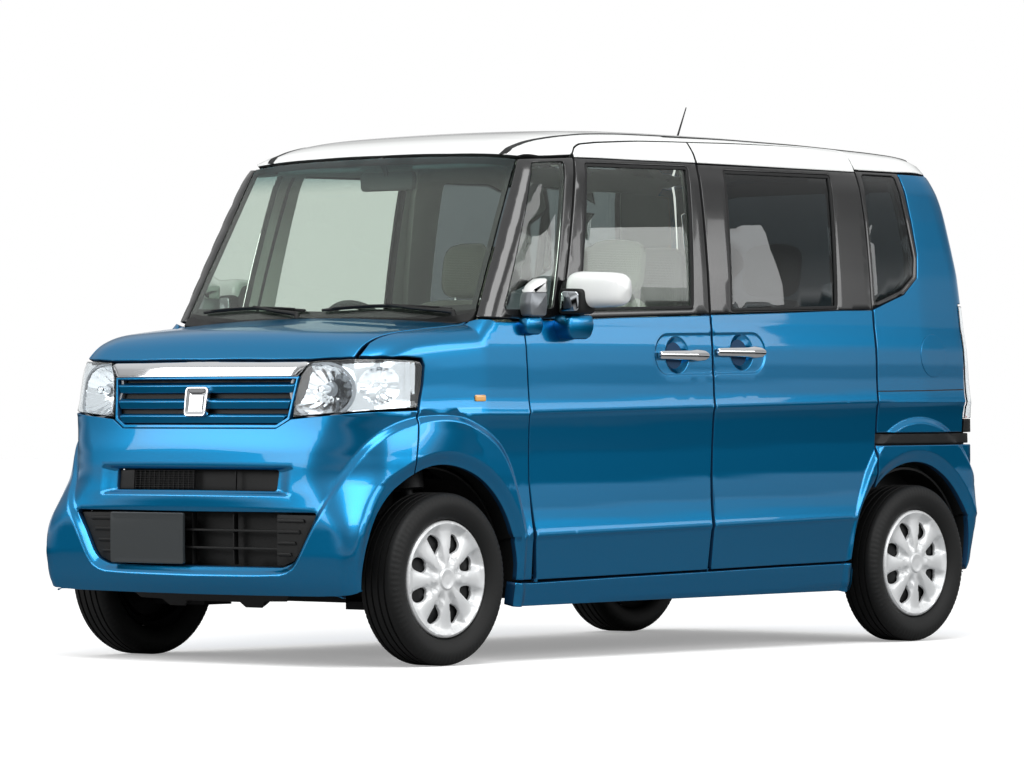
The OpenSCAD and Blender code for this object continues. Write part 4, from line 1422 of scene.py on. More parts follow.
@dataclass
class FrontBumper:
    """Painted bumper skin with its slot, intake, number plate and black inserts."""

    slot_half: float = 362.0
    slot_low: float = 566.0
    slot_high: float = 629.0
    intake: tuple = ((0, 319), (392, 320), (438, 336), (460, 362), (498, 428), (538, 494),
                     (0, 492))
    plate: tuple = (-369, -31, 324, 489)

    def relief(self, p: Points) -> Points:
        """Depth of the slot's pointed recess and of the bevel round the intake.

        Args:
            p: surface points.
        Returns:
            The depths.
        """
        x, z = np.abs(p[:, 0]), p[:, 2]
        up, down, ends = (644 - z) / 17, (z - 543) / 23, (434 - x) / 72
        slot = 15 * step(np.minimum(np.minimum(up, down), ends))
        mouth = np.array([(a, b) for a, b in self.intake] + [(-a, b) for a, b in
                         self.intake[-2::-1]], float)
        gap = away(mouth, np.stack([x, z], 1))
        bevel = 13 * np.clip(1 - gap / 26, 0, 1) ** 1.6 * np.clip((500 - z) / 60, 0, 1)
        return np.where(p[:, 1] < -1450, slot + bevel, 0)

    def skin_outline(self) -> Points:
        """The skin's edge, from the lower middle round by the arch to the upper middle.

        Returns:
            The outline's left half in the nose map.
        """
        low = lift(Domain.FRONT, [(0, 229), (300, 230), (537, 232), (640, 236)])
        corner = lift(Domain.SIDE, [(-1640, 240), (-1607, 249)])
        wheel = lift(Domain.SIDE, arc(*FRONT_ARCH, 187, 112.5, 26))
        joint = lift(Domain.SIDE, [(-1391, 666), (-1361, 823)])
        lamp = lift(Domain.FRONT, [(672, 818), (560, 808), (470, 801), (402, 795)])
        grille = lift(Domain.FRONT, [(392, 790), (345, 765), (0, 765)])
        return traced(Domain.NOSE, low, corner, wheel, joint, lamp, grille)

    def build(self) -> None:
        """Make every piece of the bumper."""
        slot = traced(Domain.NOSE, lift(Domain.FRONT, [
            (-self.slot_half, self.slot_low), (self.slot_half - 6, self.slot_low),
            (self.slot_half, self.slot_high), (-self.slot_half, self.slot_high)]))
        mouth = traced(Domain.NOSE, lift(Domain.FRONT, whole(self.intake)))
        skin = Panel("bumper_skin", Domain.NOSE, whole(self.skin_outline()),
                     [rounded(slot, 6, 3), rounded(mouth, 10, 3)], relief=self.relief,
                     pitch=13, flange=20, rim=2.5, guides=self._guides()).build()
        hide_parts("front_bumper")
        self._slot_insert()
        self._intake_insert()
        self._plate()
        low = [(0, 172), (120, 172), (135, 158), (210, 158), (235, 176), (330, 178), (350, 196),
               (420, 200), (560, 222), (600, 262), (0, 262)]
        Panel("bumper_valance", Domain.FRONT, whole(np.array(low, float)), sink=60, flange=40,
              back=BLACK_PLASTIC, skin=BLACK_PLASTIC, pitch=30
              ).build()

    def _guides(self) -> list[Points]:
        """Crease lines of the flares, slot recess and chin.

        Returns:
            The lines in the nose map.
        """
        flares = flare_guides(Domain.NOSE) + lip_guides(Domain.NOSE, BODY.shape.lips[0])
        lines = flares + [line * [-1, 1] for line in flares]
        for f in (0, 0.25, 0.5, 0.75):
            x, high, low = 434 - 72 * f, 644 - 17 * f, 543 + 23 * f
            ring = [(-x, high), (x, high), (x, low), (-x, low), (-x, high)]
            run = np.concatenate([np.linspace(a, b, 70 if i % 2 == 0 else 9)
                                  for i, (a, b) in enumerate(zip(ring, ring[1:]))])
            lines.append(traced(Domain.NOSE, lift(Domain.FRONT, run)))
        return lines

    def _bars(self, name: str, rows: Iterable, x0: float, x1: float, sink: float,
              deep: float) -> None:
        """Thin bars across an opening, each (low z, high z).

        Args:
            name: piece name without its number.
            rows: their edges.
            x0, x1: their ends.
            sink: depth of their faces.
            deep: their thickness.
        """
        for i, (low, high) in enumerate(rows):
            Panel(f"{name}_{i}", Domain.FRONT, oblong(x0, x1, low, high), gap=0, rim=1.2, sink=sink,
                flange=deep, skin=BLACK_PLASTIC, back=BLACK_PLASTIC,
                  pitch=40).build()

    def _slot_insert(self) -> None:
        """Back wall, mesh and divider of the upper slot."""
        Panel("slot_back", Domain.FRONT, oblong(-372, 372, 556, 640), gap=0, sink=48, flange=8,
            skin=BLACK_PLASTIC, pitch=40).build()
        self._bars("slot_mesh_bar", [(z, z + 2.5) for z in np.arange(572, 628, 7.5)],
                   -290, -8, 26, deep=5)
        for i, x in enumerate([*np.arange(-290, 0, 23), 172]):
            Panel(f"slot_mesh_post_{i}", Domain.FRONT, oblong(x, x + 3, 566, 628), gap=0,
                  rim=1, sink=27,
                flange=6, skin=BLACK_PLASTIC, pitch=40).build()
        Panel("slot_end_plate", Domain.FRONT, oblong(-362, -292, 566, 628), gap=0, rim=1, sink=24,
            flange=6, skin=BLACK_PLASTIC).build()

    def _intake_insert(self) -> None:
        """Back wall, ribbed ends, bars and posts of the lower intake."""
        mouth = turned_left(whole(self.intake))
        grown = shrink(dense(rounded(mouth, 8, 3), 40), -9)
        Panel("intake_back", Domain.FRONT, grown, gap=0, sink=66, flange=8, pitch=60,
              skin=BLACK_PLASTIC).build()
        Panel("intake_wall", Domain.FRONT, shrink(dense(mouth, 40), -12), [shrink(
            dense(mouth, 40), -5)], gap=0, rim=0.5, sink=10, flange=60, pitch=60,
            skin=BLACK_PLASTIC).build()
        for side, name in ((1, "left"), (-1, "right")):
            plate = np.array([(362, 321), (392, 322), (436, 338), (458, 364), (496, 430),
                              (533, 490), (362, 490)], float) * [side, 1]
            Panel(f"intake_end_{name}", Domain.FRONT, plate, gap=1, sink=17, flange=30,
                  skin=BLACK_PLASTIC, rim=2).build()
            for i, z in enumerate((356, 392, 428, 464)):
                reach = 420 + (z - 340) * 0.5
                rib = np.array([(368, z), (reach, z), (reach - 4, z + 11), (368, z + 11)],
                               float) * [side, 1]
                Panel(f"intake_rib_{name}_{i}", Domain.FRONT, rib, gap=0, rim=3, sink=11,
                      flange=8, skin=BLACK_PLASTIC).build()
        self._bars("intake_bar", [(374, 381), (431, 438)], -362, 362, 20, deep=22)
        for i, x in enumerate((-24, 160, 358)):
            Panel(f"intake_post_{i}", Domain.FRONT, oblong(x, x + 5, 321, 490), gap=0,
                  rim=1, sink=30,
                flange=20, skin=BLACK_PLASTIC, pitch=40).build()

    def _plate(self) -> None:
        """Blank number plate, dark grey, with a pressed rim."""
        outline = rounded(oblong(*self.plate), 8)

        def pressed(p: Points) -> Points:
            """Depth of the field inside the plate's rim.

            Args:
                p: surface points.
            Returns:
                The depths.
            """
            x0, x1, z0, z1 = self.plate
            edge = np.minimum(np.minimum(p[:, 0] - x0, x1 - p[:, 0]),
                              np.minimum(p[:, 2] - z0, z1 - p[:, 2]))
            return 1.6 * step((edge - 5) / 4)
        Panel("number_plate_blank", Domain.FRONT, outline, gap=0, rim=1.5, sink=-5, flange=10,
              relief=pressed, skin=DARK_PLATE, pitch=9).build()


@dataclass
class Grille:
    """Grille between the headlamps: chrome bar over three painted slats."""

    slats: tuple = ((781, 813, 376), (828, 862, 392), (879, 914, 402))

    def build(self) -> None:
        """Make the recess, slats, surround and chrome bar."""
        recess = whole(np.array([(0, 769), (343, 769), (390, 795), (407, 925), (0, 930)]))
        back = Panel("grille_recess", Domain.FRONT, recess, gap=1, sink=24, flange=12,
                     skin=BLACK_PLASTIC).build()
        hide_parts("grille")
        rim_out = whole(np.array([(0, 764), (346, 764), (394, 791), (414, 931), (0, 931)]))
        rim_in = whole(np.array([(0, 776), (343, 776), (384, 799), (403, 922), (0, 922)]))
        Panel("grille_surround", Domain.FRONT, rim_out, [rim_in], gap=0.6, rim=2.5, sink=3,
              flange=20, pitch=12).build()
        for i, (low, high, reach) in enumerate(self.slats):
            def bevel(p: Points, low: float = low, high: float = high) -> Points:
                """Depth of a slat's upper and lower bevels.

                Args:
                    p: surface points.
                    low, high: the slat's edges.
                Returns:
                    The depths.
                """
                up = np.clip((high - p[:, 2]) / 11, 0, 1)
                down = np.clip((p[:, 2] - low) / 22, 0, 1)
                return 11 * (1 - up) + 5 * (1 - down)
            outline = whole(np.array([(0, low), (reach - 14, low), (reach, high - 6),
                                      (reach - 5, high), (0, high)], float))
            Panel(f"grille_slat_{i}", Domain.FRONT, outline, gap=0, rim=2, sink=4, flange=16,
                  relief=bevel, pitch=7).build()

        def facet(p: Points) -> Points:
            """Depth of the bar's bevelled top and ends.

            Args:
                p: surface points.
            Returns:
                The depths.
            """
            up = np.clip((979 - p[:, 2]) / 10, 0, 1)
            ends = np.clip((444 - np.abs(p[:, 0]) - (979 - p[:, 2]) * 0.72) / 16, 0, 1)
            return 9 * (1 - up) + 6 * (1 - ends) - 6
        bar = whole(np.array([(0, 929), (408, 929), (414, 936), (442, 972), (443, 979),
                              (0, 981)], float))
        Panel("chrome_bar", Domain.FRONT, bar, gap=0, rim=2, sink=0, flange=22, relief=facet,
              skin=CHROME, pitch=9).build()
        self._badge_blank()

    def _badge_blank(self) -> None:
        """Plain bright boss where a badge would sit."""
        outline = rounded([(-47, 800), (47, 800), (52, 896), (-52, 896)], 18)

        def dish(p: Points) -> Points:
            """Depth of the boss's raised rim and hollow face.

            Args:
                p: surface points.
            Returns:
                The depths.
            """
            r = np.maximum(np.abs(p[:, 0]) / 50, np.abs(p[:, 2] - 848) / 48)
            return -4 * step((r - 0.72) / 0.12) + 3 * step((0.9 - r) / 0.5)
        Panel("badge_blank", Domain.FRONT, outline, gap=0, rim=2.5, sink=-4, flange=16,
              relief=dish, skin=CHROME, pitch=5).build()


@dataclass
class HeadLamp:
    """Headlamp: two faceted bowls, a fluted outer end, dark rim and clear cover."""

    bowl_r: float = 84.0
    bowl_depth: float = 58.0
    small_r: float = 58.0
    small_depth: float = 30.0
    small_at: tuple = (160, 14)
    flutes_from: float = 226.0
    flute_pitch: float = 19.0

    def edge(self) -> Points:
        """The lamp's edge in the nose map.

        Returns:
            The outline.
        """
        low = lift(Domain.FRONT, [(404, 799), (470, 804), (560, 811), (672, 821)])
        side = lift(Domain.SIDE, [(-1362, 829), (-1340, 905), (-1334, 962), (-1348, 980)])
        high = lift(Domain.FRONT, [(672, 986), (600, 988), (520, 985), (446, 980),
                                   (420, 935), (408, 880)])
        return traced(Domain.NOSE, low, side, high)

    def build(self) -> None:
        """Make both lamps."""
        edge = self.edge()
        centre = lift(Domain.FRONT, [(498, 888)])[0]
        middle = BODY.flat(Domain.NOSE, centre)[0]

        inner_edge = shrink(dense(turned_left(edge), 12), 6)

        def bowl(p: Points) -> Points:
            """Depth of both bowls, the ring between them and the flutes.

            Args:
                p: surface points.
            Returns:
                The depths.
            """
            flat = BODY.flat(Domain.NOSE, p) - middle
            big = self._dish(flat, self.bowl_r, self.bowl_depth, 3.5, 8, 30)
            ring = -5 * np.exp(-((np.hypot(*flat.T) - 90) / 6) ** 2)
            small = self._dish(flat - self.small_at, self.small_r, self.small_depth, 3, 7, 20)
            out = flat[:, 0] - self.flutes_from
            flutes = 7 * np.abs((out / self.flute_pitch) % 1 - 0.5) * step(out / 6)
            return big + ring + small + flutes

        rings = [arc(0, 0, 1, 0, 360, 49) * r + middle for r in (24, 44, 64, 76, 84, 90, 96)]
        rings += [arc(0, 0, r, 0, 360, 37) + middle + self.small_at
                  for r in (18, 34, 48, 57, 61)]
        glass = Panel("headlamp_cover", Domain.NOSE, edge, gap=3, rim=2, sink=0.5, flange=3,
                      skin=LENS, back=LENS, pitch=14)
        inner = Panel("headlamp_reflector", Domain.NOSE, edge, gap=4, rim=2, sink=18, flange=10,
                      skin=REFLECTOR, relief=bowl, pitch=6, guides=rings)
        rim = Panel("headlamp_rim", Domain.NOSE, edge, [inner_edge],
                    gap=1.5, rim=1, sink=5, flange=60, skin=BLACK_PLASTIC,
                    pitch=20)
        bezel = Panel("headlamp_bezel", Domain.NOSE, arc(0, 0, 95, 0, 360, 49)[:-1] + middle,
                      [arc(0, 0, 85, 0, 360, 49)[:-1] + middle], gap=0, rim=2, sink=10,
                      flange=14, skin=BEZEL, pitch=8)
        both_sides(bezel)
        self._bulbs(centre)
        for piece in both_sides(glass):
            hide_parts("headlamps")
        both_sides(inner)
        both_sides(rim)

    def _dish(self, offset: Points, radius: float, depth: float, ridge: float, facets: int,
              blend: float) -> Points:
        """Depth of one round bowl with facets.

        Args:
            offset: points from its middle.
            radius, depth: its size.
            ridge: height of the facets' edges.
            facets: half of their number.
            blend: radius over which they fade in from the middle.
        Returns:
            The depths, 0 outside the bowl.
        """
        r, turn = np.hypot(*offset.T), np.arctan2(offset[:, 1], offset[:, 0])
        bowl = depth * np.clip(1 - (r / radius) ** 2, 0, 1) ** 0.8
        return bowl + (ridge * np.abs(np.sin(turn * facets)) * np.clip(r / blend, 0, 1)
                       * (r < radius))

    def _bulbs(self, centre: Points) -> None:
        """Shade and socket at the middle of each bowl.

        Args:
            centre: middle of the left bowl.
        """
        for sign, name in ((1, "left"), (-1, "right")):
            at = np.array([centre[0] * sign, centre[1] + 30, centre[2]])
            lathe(f"lamp_shade_{name}", [(0, -26), (9, -25), (13, -21), (14, -14), (14, 22)],
                  at, REFLECTOR, "root", 28, "y")
            lathe(f"lamp_socket_{name}", [(14, 20), (22, 22), (24, 34), (0, 36)], at, BEZEL,
                  "root", 28, "y")


@dataclass
class FrontWings:
    """Front fenders with their arches, and the bonnet between them."""

    def fender_outline(self) -> Points:
        """The fender's edge in the shoulder map.

        Returns:
            The outline.
        """
        door = lift(Domain.SIDE, [(-822, 262), (-843, 599), (-850, 815), (-861, 1030),
                                  (-868, 1114)])
        belt = lift(Domain.SIDE, [(-940, 1113), (-1000, 1112), (-1035, 1110)], True)
        joint = lift(Domain.TOP, [(655, -1068), (645, -1150), (630, -1270), (614, -1390),
                                  (608, -1450), (606, -1490)])
        tip = lift(Domain.FRONT, [(606, 1036), (607, 992)])
        lamp = lift(Domain.FRONT, [(640, 991), (676, 989)])
        side = lift(Domain.SIDE, [(-1340, 985), (-1330, 965), (-1336, 905), (-1358, 826),
                                  (-1391, 666)])
        wheel = lift(Domain.SIDE, arc(*FRONT_ARCH, 112.5, -4.5, 40))
        return traced(Domain.SHOULDER, door, belt, joint, tip, lamp, side, wheel)

    def bonnet_outline(self) -> Points:
        """The bonnet's edge, from the middle of its front to the middle of its rear.

        Returns:
            The outline's left half.
        """
        front = lift(Domain.FRONT, [(0, 984), (300, 984), (450, 984), (560, 988), (599, 990),
                                    (600, 1036)])
        side = lift(Domain.TOP, [(601, -1490), (603, -1450), (609, -1390), (625, -1270),
                                 (640, -1150), (648, -1066)])
        rear = lift(Domain.TOP, [(500, -1094), (300, -1112), (0, -1120)])
        return traced(Domain.BONNET, front, side, rear)

    def build(self) -> None:
        """Make the fenders, bonnet and side markers."""
        guides = flare_guides(Domain.SHOULDER) + lip_guides(Domain.SHOULDER,
                                                            BODY.shape.lips[0])
        fender = Panel("fender_skin", Domain.SHOULDER, self.fender_outline(), pitch=15,
                       flange=18, guides=guides)
        for piece in both_sides(fender):
            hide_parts("front_fenders")
        half = self.bonnet_outline()
        # The bonnet's underside is the darker shut-line paint, a painted shade
        bonnet = Panel("bonnet_skin", Domain.BONNET, whole(half), pitch=16, flange=20,
                       back=SHADED_EDGE_PAINT, rim=3.5).build("bonnet_lid")
        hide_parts("bonnet")
        marker = Panel("side_marker", Domain.SIDE, rounded(
            oblong(-1116, -1070, 850, 871), 6), gap=0, rim=3,
            sink=-5, flange=8, skin=AMBER_LENS, pitch=6)
        both_sides(marker)


# --- Sides ---

FRONT_WINDOW = ((-578, 1152), (26, 1168), (62, 1651), (-478, 1644))
SLIDING_WINDOW = ((232, 1163), (828, 1180), (855, 1649), (255, 1645))
CORNER_WINDOW = ((-950, 1152), (-708, 1158), (-584, 1646), (-742, 1640))
# Rear and front ends, then foot and top, of the pressed bay round both door handles
HANDLE_BAY = (-198.0, 398.0, 946.0, 1082.0)


def bay_edge(p: Points) -> Points:
    """Distance inside the pressed stadium round both door handles.

    Args:
        p: surface points.
    Returns:
        The distances, negative outside.
    """
    low_y, high_y, low_z, high_z = HANDLE_BAY
    r = (high_z - low_z) / 2
    y = np.maximum(np.maximum(low_y + r - p[:, 1], p[:, 1] - high_y + r), 0)
    return r - np.hypot(y, p[:, 2] - (low_z + high_z) / 2 - 0.02 * (p[:, 1] - 100))


def cup(p: Points, y: float, z: float) -> Points:
    """Depth of the handle bay and of the round finger cup behind a handle."""
    r = np.hypot(p[:, 1] - y, p[:, 2] - z)
    return 3.2 * step(bay_edge(p) / 9 + 0.5) + 26 * np.clip(1 - (r / 61) ** 2, 0, 1) ** 0.75


def bay_guides(y: float, z: float) -> list[Points]:
    """Lines beside the handle bay's edge, and rings round a finger cup.

    Args:
        y, z: middle of the finger cup.
    Returns:
        The lines in the side map.
    """
    low_y, high_y, low_z, high_z = HANDLE_BAY
    middle, r = (low_z + high_z) / 2, (high_z - low_z) / 2
    lines = []
    for d in (-4.8, -1.6, 1.6, 4.8):
        left = arc(low_y + r, middle, r + d, 90, 270, 24)
        right = arc(high_y - r, middle, r + d, -90, 90, 24)
        ring = np.concatenate([left, right, left[:1]])
        lines.append(ring + np.stack([0 * ring[:, 0], 0.02 * (ring[:, 0] - 100)], 1))
    return lines + [arc(y, z, d, 0, 360, 40) for d in (66, 61, 55, 44, 28)]


def front_seam() -> Points:
    """Joint of the roof and the front door's top, as surface points from front to rear."""
    rise = lift(Domain.SIDE, [(-523, 1678), (-500, 1697), (-480, 1706), (-463, 1711)], True)
    return np.concatenate([rise, lift(Domain.TOP, [(617, -378), (612, -150), (607, 64),
                                                   (606, 112)], True)])


def rear_seam() -> Points:
    """Joint of the roof and the sliding door's top, as surface points from front to rear."""
    along = lift(Domain.TOP, [(606, 118), (600, 300), (590, 600), (580, 850), (575, 965),
                              (579, 990), (592, 1006)], True)
    return np.concatenate([along, lift(Domain.SIDE, [(1013, 1712), (1010, 1690)], True)])


@dataclass
class SideDoor:
    """One kind of side door: painted skin, gloss window frame, white top and pane."""

    name: str
    skin: Points
    frame_outline: Points
    top: Points
    window: Sequence
    handle: tuple
    finger: tuple
    glass: Finish
    node: str
    body: tuple
    window_radius: float = 14.0

    def build(self) -> None:
        """Make the door on both sides."""
        hole = rounded(self.window, self.window_radius)
        y, z = self.handle
        parts = [
            Panel(f"{self.name}_skin", Domain.SIDE, self.skin, pitch=17, flange=16,
                  relief=lambda p: cup(p, *self.finger), guides=self._guides()),
            Panel(f"{self.name}_frame", Domain.SIDE, self.frame_outline, [hole], upper=True,
                  sink=2.5, skin=PILLAR_GLOSS, edge=SEAL_RUBBER, back=PILLAR_TRIM, flange=34,
                  gap=2.6),
            Panel(f"{self.name}_top", Domain.ROOF, self.top, upper=True, skin=WHITE_PAINT,
                  edge=SEAL_RUBBER, gap=2.2, pitch=14),
            # The door's inner face is the darker shut-line paint, a painted shade
            Panel(f"{self.name}_inner", Domain.SIDE, self.skin, sink=17, gap=14, flange=46,
                  skin=SHADED_EDGE_PAINT, edge=SEAL_RUBBER, back=CABIN_TRIM, pitch=60),
            Panel(f"{self.name}_window_seal", Domain.SIDE, shrink(dense(turned_left(
                hole), 20), -1.0), [shrink(dense(turned_left(hole), 20), 9)], upper=True,
                gap=0, rim=1.5, sink=4, flange=12, skin=SEAL_RUBBER),
            Panel(f"{self.name}_pane", Domain.SIDE, hole, upper=True, gap=3, rim=0.5, sink=9,
                  flange=4, skin=self.glass, back=self.glass, pitch=60),
        ]
        for part in parts:
            pieces = both_sides(part, *self.body)
            for side, piece in zip(("left", "right"), pieces):
                if part.name.endswith("_skin"):
                    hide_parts(self.node.format(side=side))
                if part.name.endswith("_pane") and "{" in self.node:
                    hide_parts(f"front_door_glass_{side}")
        self._handle(y, z)

    def _guides(self) -> list[Points]:
        """Body creases, the handle bay and the rear flare's crease.

        Returns:
            The lines in the side map.
        """
        y = self.skin[:, 0]
        lines = crease_guides(y.min(), y.max()) + bay_guides(*self.finger)
        return lines + (flare_guides(Domain.SIDE, rear=True) if y.max() > 900 else [])

    def _handle(self, y: float, z: float) -> None:
        """Bright pull handle over the finger cups.

        Args:
            y, z: middle of the handle.
        """
        grip = rounded([(y - 128, z - 14), (y + 30, z - 16), (y + 70, z - 20), (y + 112, z - 17),
                        (y + 132, z - 7), (y + 132, z + 7), (y + 112, z + 17), (y + 70, z + 20),
                        (y + 30, z + 16), (y - 128, z + 13)], 6)

        def arch(p: Points) -> Points:
            """Depth by which the handle falls away to its edges and ends.

            Args:
                p: surface points.
            Returns:
                The depths.
            """
            across = np.abs(p[:, 2] - z) / 17
            along = np.abs(p[:, 1] - y) / 128
            return 5 * across ** 2 + 12 * np.clip(along - 0.5, 0, 1) ** 1.2
        bar = Panel(f"{self.name}_handle", Domain.SIDE, grip, gap=0, rim=3, sink=-21, flange=17,
                    skin=CHROME, back=CHROME, relief=arch, pitch=6)
        both_sides(bar, *self.body)


def front_door() -> SideDoor:
    """The hinged front door.

    Returns:
        The door's outlines, places and finishes.
    """
    front = [(-868, 1116), (-861, 1030), (-850, 815), (-843, 599)]
    skin = np.concatenate([rounded([(-822, 265), (-330, 272), (106, 279)], [22, 0, 10]),
                           [(109, 700), (111, 1147), (-370, 1133), (-664, 1121)], front])
    frame_outline = np.array([(-668, 1120), (-370, 1131), (111, 1148), (112, 1667),
                              (-524, 1664)], float)
    foot = lift(Domain.SIDE, [(112, 1664), (-200, 1662), (-526, 1661)], True)
    top = traced(Domain.ROOF, foot, front_seam())
    return SideDoor("front_door", skin, frame_outline, top, FRONT_WINDOW, (-57, 1008),
                    (-80, 1008), CLEAR_GLASS, "front_door_{side}", ("door_left", "door_right"))


def sliding_door() -> SideDoor:
    """The sliding rear door.

    Returns:
        The door's outlines, places and finishes.
    """
    arch = arc(REAR_ARCH[0], REAR_ARCH[1], 380, 171, 133, 14)
    skin = np.concatenate([[(112, 279), (500, 286)], [(868, 291), (888, 300), (893, 335)],
                           arch, [(1028, 600), (1030, 900), (1029, 1178)],
                           [(830, 1174), (500, 1161), (117, 1149)]])
    frame_outline = np.array([(118, 1148), (500, 1160), (1029, 1176), (1026, 1400),
                              (1019, 1560), (1010, 1668), (118, 1664)], float)
    foot = lift(Domain.SIDE, [(1009, 1668), (1008, 1664), (600, 1664), (118, 1664)], True)
    top = traced(Domain.ROOF, foot, rear_seam())
    return SideDoor("sliding_door", skin, frame_outline, top, SLIDING_WINDOW, (254, 1021),
                    (271, 1021), DARK_GLASS, "sliding_doors", ("root", "root"))


def gate_seam(aside: float) -> Points:
    """Upper joint of the tailgate and the quarter panel.

    Args:
        aside: distance from the middle of the joint, positive towards the quarter panel.
    Returns:
        Surface points from below.
    """
    line = [(547, 1206), (551, 1300), (556, 1400), (562, 1500), (571, 1590), (579, 1640),
            (586, 1664)]
    return lift(Domain.TAIL, [(a + aside, z) for a, z in line], True)


@dataclass
class BodySides:
    """Sills, quarter panels and panes, screen pillars, posts and the covers inside them."""

    def quarter_outline(self) -> Points:
        """The quarter panel's edge in the tail map.

        Returns:
            The outline.
        """
        low = lift(Domain.SIDE, [(1035, 742), (1560, 744)])
        lamp = lift(Domain.SIDE, [(1562, 786), (1562, 1204)])
        rear = gate_seam(2.0)
        high = lift(Domain.SIDE, [(1480, 1667), (1440, 1668), (1262, 1669)], True)
        window = lift(Domain.SIDE, [(1312, 1380), (1302, 1296), (1222, 1236), (1036, 1180)])
        return traced(Domain.TAIL, low, lamp, rear, high, window)

    def build(self) -> None:
        """Make the sides' fixed panels."""
        guides = [traced(Domain.TAIL, lift(Domain.SIDE, line))
                  for line in crease_guides(1000, 1600)[4:]]
        quarter = Panel("quarter_skin", Domain.TAIL, self.quarter_outline(), pitch=16,
                        flange=18, upper=True,
                        guides=guides + flare_guides(Domain.TAIL, rear=True))
        for piece in both_sides(quarter):
            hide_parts("quarter_panels")
        sill = np.concatenate([[(-903, 180), (0, 184), (925, 188)],
                               [(918, 262), (893, 288), (868, 286), (500, 281), (106, 274),
                                (-330, 267), (-822, 257), (-899, 259)]])
        sills = Panel("sill_skin", Domain.SIDE, sill, gap=1, flange=40, pitch=16)
        for piece in both_sides(sills):
            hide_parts("side_frames")
        frame_outline = np.array([(1028, 1178), (1222, 1232), (1306, 1292), (1318, 1380),
                                  (1266, 1672), (1014, 1672), (1025, 1500)], float)
        hole = rounded([(1052, 1205), (1210, 1252), (1283, 1303), (1294, 1366), (1238, 1658),
                        (1046, 1658)], 14)
        surround = Panel("quarter_frame", Domain.SIDE, frame_outline, [hole], upper=True, sink=2.5,
                         skin=PILLAR_GLOSS, edge=SEAL_RUBBER, back=PILLAR_TRIM, flange=30)
        both_sides(surround)
        pane = Panel("quarter_pane", Domain.SIDE, hole, upper=True, gap=1.5, rim=0.5, sink=6,
                     flange=4, skin=DARK_GLASS, back=DARK_GLASS, pitch=60)
        for piece in both_sides(pane):
            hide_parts("side_windows")
        self._pillars()

    def _pillars(self) -> None:
        """Windscreen pillars with the corner panes, and the dark posts behind the doors."""
        screen_edge = lift(Domain.FRONT, [(655, 1124), (640, 1260), (618, 1450), (594, 1652)],
                           True)
        top = lift(Domain.SIDE, [(-700, 1655), (-640, 1658), (-532, 1664)], True)
        rear = lift(Domain.SIDE, [(-534, 1650), (-672, 1120)], True)
        low = lift(Domain.SIDE, [(-868, 1117)], True)
        outline = traced(Domain.CABIN, screen_edge, top, rear, low)
        hole = traced(Domain.CABIN, lift(Domain.SIDE, dense(rounded(CORNER_WINDOW, 16), 30),
                                         True))
        pillar = Panel("screen_pillar", Domain.CABIN, outline, [hole], upper=True, sink=1.5,
                       skin=PILLAR_GLOSS, edge=SEAL_RUBBER, back=PILLAR_TRIM, flange=30, gap=2)
        both_sides(pillar)
        pane = Panel("corner_pane", Domain.CABIN, hole, upper=True, gap=1.5, rim=0.5, sink=6,
                     flange=4, skin=CLEAR_GLASS, back=CLEAR_GLASS, pitch=60)
        both_sides(pane)
        post = np.array([(85, 285), (150, 287), (150, 1740), (85, 1735)], float)
        # The post's face is the darker shut-line paint, a painted shade
        both_sides(Panel("centre_post", Domain.SIDE, post, upper=True, sink=20, gap=0,
                         skin=SHADED_EDGE_PAINT, edge=PILLAR_TRIM, back=PILLAR_TRIM, flange=40,
                         pitch=60))
        self._inner_covers()
        for name, wheel, start, end, half in (("front", FRONT_ARCH, 112, -4, 3),
                                              ("rear", REAR_ARCH, 176, -2, 14)):
            ring = arc(wheel[0], wheel[1], wheel[2] + half + 4, start, end, 30)
            both_sides(Panel(f"{name}_arch_return", Domain.SIDE, band(ring, [half] * len(ring)),
                             gap=0, rim=0.5, sink=15, flange=58, skin=BLACK_PLASTIC, pitch=30))
        back = traced(Domain.TAIL, lift(Domain.SIDE, [(1040, 690), (1560, 692), (1650, 694)]),
                      lift(Domain.BACK, [(612, 694), (612, 756)]),
                      lift(Domain.SIDE, [(1650, 756), (1560, 754), (1040, 750)]))
        both_sides(Panel("strip_backing", Domain.TAIL, back, gap=0, sink=24, flange=4,
                         skin=BLACK_PLASTIC))

    def _inner_covers(self) -> None:
        """Pale covers inside the rails over the doors and round the rear corners."""
        low = lift(Domain.SIDE, [(-600, 1652), (-200, 1654), (400, 1654), (1000, 1652),
                                 (1440, 1650)], True)
        high = lift(Domain.TOP, [(545, 1440), (545, 600), (560, 0), (545, -640)], True)
        both_sides(Panel("rail_cover_inner", Domain.ROOF, traced(Domain.ROOF, low, high),
                         upper=True, sink=41, gap=0, skin=LINING, back=LINING,
                         flange=7, pitch=60))
        edge = traced(Domain.TAIL, lift(Domain.SIDE, [(1046, 1190), (1300, 1190)], True),
                      gate_seam(26)[:-1],
                      lift(Domain.SIDE, [(1420, 1652), (1262, 1656), (1040, 1656)], True))
        hole = traced(Domain.TAIL, lift(Domain.SIDE, [
            (1060, 1212), (1206, 1256), (1276, 1306), (1288, 1366), (1234, 1646),
            (1056, 1646)], True))
        both_sides(Panel("corner_cover_inner", Domain.TAIL, edge, [hole], upper=True, sink=37,
                         gap=0, skin=PILLAR_TRIM, back=PILLAR_TRIM, flange=6,
                         pitch=40))
        wall = rounded([(1046, 668), (1560, 668), (1575, 1176), (1046, 1176)], 20)
        both_sides(Panel("load_bay_wall", Domain.SIDE, wall, sink=58, gap=0,
                         skin=CABIN_TRIM, back=CABIN_TRIM, flange=6, pitch=60))


